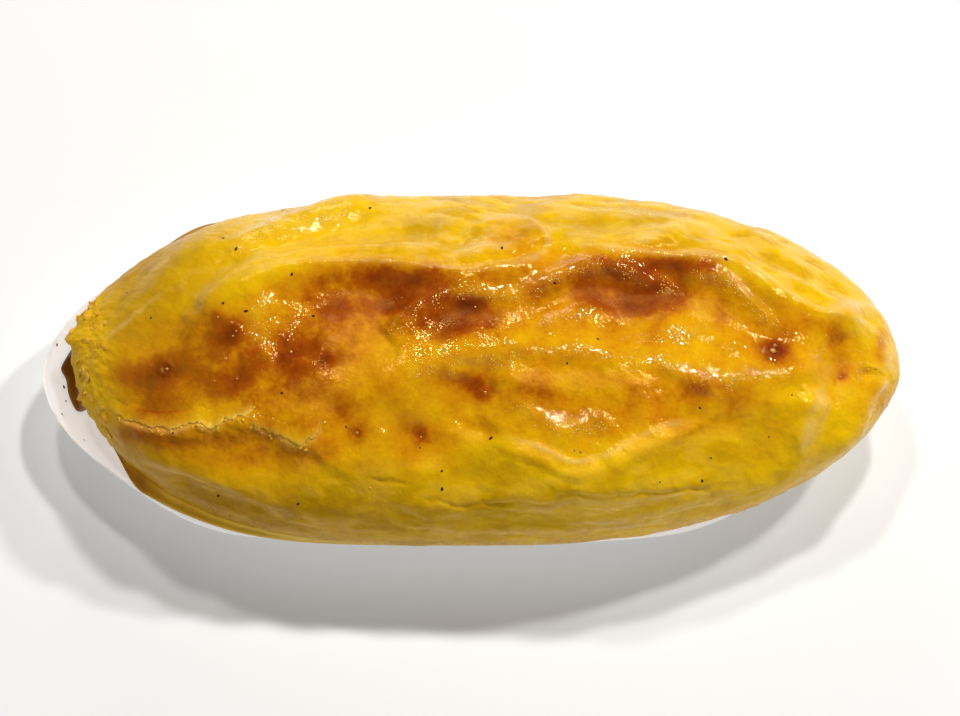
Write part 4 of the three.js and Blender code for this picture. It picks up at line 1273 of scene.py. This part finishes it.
# %% Places of specks, bubbles, crumbs and painted sparks
SPECK_PIXELS = [
    (283, 210), (370, 208), (223, 238), (236, 249), (292, 274), (127, 293), (151, 318), (246, 311),
    (313, 316), (223, 303), (282, 393), (173, 433), (346, 427), (218, 496), (230, 516), (298, 504),
    (420, 448), (442, 471), (442, 489), (502, 248), (555, 283), (598, 339), (567, 363), (726, 259),
    (491, 438), (769, 437), (702, 481), (660, 482), (792, 395), (700, 408), (711, 458)]
PAPER_SPECK_PIXELS = [(66, 401), (64, 387), (57, 345), (62, 414), (84, 440)]
BUBBLE_PIXELS = [
    (167, 369), (236, 331), (233, 336), (218, 317), (291, 352), (325, 363), (475, 307), (841, 377),
    (421, 437), (357, 433), (575, 450), (581, 452)]
BURST_PIXELS = [(773, 351)]
CRUMB_PIXELS = [
    (158, 431), (163, 434), (192, 427), (198, 425), (238, 421), (243, 420), (247, 417), (262, 433),
    (270, 436), (302, 446), (316, 436), (370, 488), (374, 496), (868, 370), (876, 368), (240, 423)]
CHANCE = np.random.default_rng(21)
TRAIL_CRUMBS = 18  # along each tear
TRAIL_SPREAD, TRAIL_DROP = (3.0, 2.5), (0, 2)  # pixels
FLAKES = 90  # at the raw end
FLAKE_LEAST_RAW, FLAKE_MARGIN, FLAKE_TILT = 0.4, 8, 0.35  # raw share, pixels and share of the normal
PAINTED_SPARK_DENSITY = 13  # painted sparks for each square millimetre of a glossy line's half width
PAINTED_SPARK_SPREAD = 0.5  # of that half width
PAINTED_SPARK_CLUMP, PAINTED_SPARK_LEAST = 14, -0.05  # pixels, and the noise below which there is none

trail = [tuple(point + CHANCE.normal(0, TRAIL_SPREAD) + TRAIL_DROP)
         for name, path in TEARS for point in CHANCE.choice(smooth_path(path), TRAIL_CRUMBS)]
pastry_points = vectors(pastry.data.vertices, "co")
pastry_normals = vectors(pastry.data.vertex_normals, "vector")
bare = np.where((raw > FLAKE_LEAST_RAW) & (column < RAW_END_COLUMN + FLAKE_MARGIN))[0]
flake_spots = [(Vector(pastry_points[i]), Vector(pastry_normals[i] + CHANCE.normal(0, FLAKE_TILT, 3)))
               for i in CHANCE.choice(bare, FLAKES, replace=False)]
painted_sparks = []
for width, path in GLOSSY_LINES:
    line = smooth_path(path)
    count = int(PAINTED_SPARK_DENSITY * path_length(line) * width)
    spread = CHANCE.normal(0, PAINTED_SPARK_SPREAD * width * PIXELS_PER_MM, (count, 2))
    painted_sparks += [tuple(spot) for spot in CHANCE.choice(line, count) + spread
              if noise.noise(Vector((*spot / PAINTED_SPARK_CLUMP, 0))) > PAINTED_SPARK_LEAST]
print(f"{len(trail)} trailing crumbs, {len(flake_spots)} flakes, {len(painted_sparks)} bubbles of froth")

# %% [markdown]
# ## Scattering
# Each kind is now one row: its places, its material, how fine and how large its balls are, and how far they
# are stretched, flattened and lumped. The tree turns each row into one plain mesh.

# %% Scatter the small things


def pixel_spots(surface, pixels):
    """Places and normals of a surface at pixels."""
    return [cast(surface, *pixel) for pixel in pixels]


SCATTERED = [
    # name, places and normals, material, ball facets, seed, smallest, largest (mm), stretch, height, lumps
    ("crust_specks", pixel_spots(pastry_surface, SPECK_PIXELS), charred, 2, 3, 0.09, 0.19, 1.5, 0.35, 1.2),
    ("paper_specks", pixel_spots(case_surface, PAPER_SPECK_PIXELS), charred, 2, 5, 0.1, 0.22, 1.3, 0.3, 1.2),
    ("egg_bubbles", pixel_spots(pastry_surface, BUBBLE_PIXELS), bubble_skin_and_glint, 3, 7, 0.13, 0.22, 1.0, 0.8, 0.2),
    ("burst_bubble", pixel_spots(pastry_surface, BURST_PIXELS), bubble_skin_and_glint, 3, 9, 0.4, 0.42, 1.0, 0.7, 0.4),
    ("mash_crumbs", pixel_spots(pastry_surface, CRUMB_PIXELS + trail), dry_crumb, 2, 11, 0.06, 0.22,
     1.5, 0.7, 1.6),
    # Painted sparks: tiny pale balls that paint the glaze's glints as colour.
    ("painted_spark_balls", pixel_spots(pastry_surface, painted_sparks), painted_spark_material, 1, 15, 0.03, 0.1, 1.5, 0.5, 0.6),
    ("mash_flakes", flake_spots, dry_crumb, 2, 13, 0.1, 0.5, 1.6, 0.25, 1.8),
]
for name, spots, material, facets, seed, smallest, largest, stretch, height, lumps in SCATTERED:
    inputs = {"Smallest": smallest * MM, "Largest": largest * MM, "Stretch": stretch, "Height": height,
              "Lumps": lumps}
    tree = scatter_tree(name, inputs, material, facets, seed)
    piece = evaluated_piece(name, seeds(name, spots), tree, inputs)
    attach(piece, "root")
    print(f"{name}: {len(spots)} copies, {len(piece.data.polygons)} triangles")

# %% [markdown]
# ## Studio
# A pale matt floor, a dim room and a row of three small lamps overhead and a little behind, as spots over a
# counter. One large lamp would wash a grey veil over the glaze. Small ones leave crisp sparks and let the
# colours stay deep. A weak lamp low behind lights the far flank, a weak wide one in front lifts the near
# flank, and the room fills the shadows.

# %% Floor, light and room
FLOOR_SIZE = 3.0
LAMPS = [
    # name, place and size in metres, watts
    ("left_lamp", Vector((-0.12, 0.32, 0.74)), 0.06, 1.25),
    ("middle_lamp", Vector((0.20, 0.30, 0.72)), 0.06, 2.3),
    ("right_lamp", Vector((0.52, 0.26, 0.68)), 0.06, 2.7),
    ("back_lamp", Vector((-0.10, 0.72, 0.28)), 0.2, 0.5),
    ("front_fill", Vector((0.05, -0.85, 0.55)), 0.6, 0.5),
]
ROOM_STRENGTH = 0.24

# A board painted white is matt, so the lamps leave no glints on it.
white_board, tree = new_material("white_board")
finish_material(tree, {"Base Color": linear("#F5F4F1"), "Roughness": 0.6})
half = FLOOR_SIZE / 2
floor_corners = [(-half, -half, 0), (half, -half, 0), (half, half, 0), (-half, half, 0)]
floor = add_object("floor", new_mesh("floor", floor_corners, [(0, 1, 2, 3)], white_board))

for name, place, size, watts in LAMPS:
    lamp = add_object(name, bpy.data.lights.new(name, "AREA"))
    lamp.data.size = size
    lamp.data.energy = watts
    lamp.location = place
    lamp.rotation_euler = (-place).to_track_quat("-Z", "Y").to_euler()

room = bpy.data.worlds.new("room")
room.use_nodes = True
background = room.node_tree.nodes["Background"]
background.inputs["Color"].default_value = linear("#FFFFFF")
background.inputs["Strength"].default_value = ROOM_STRENGTH
bpy.context.scene.world = room
bpy.context.scene.view_settings.view_transform = "Standard"
print(len(LAMPS), "lamps")
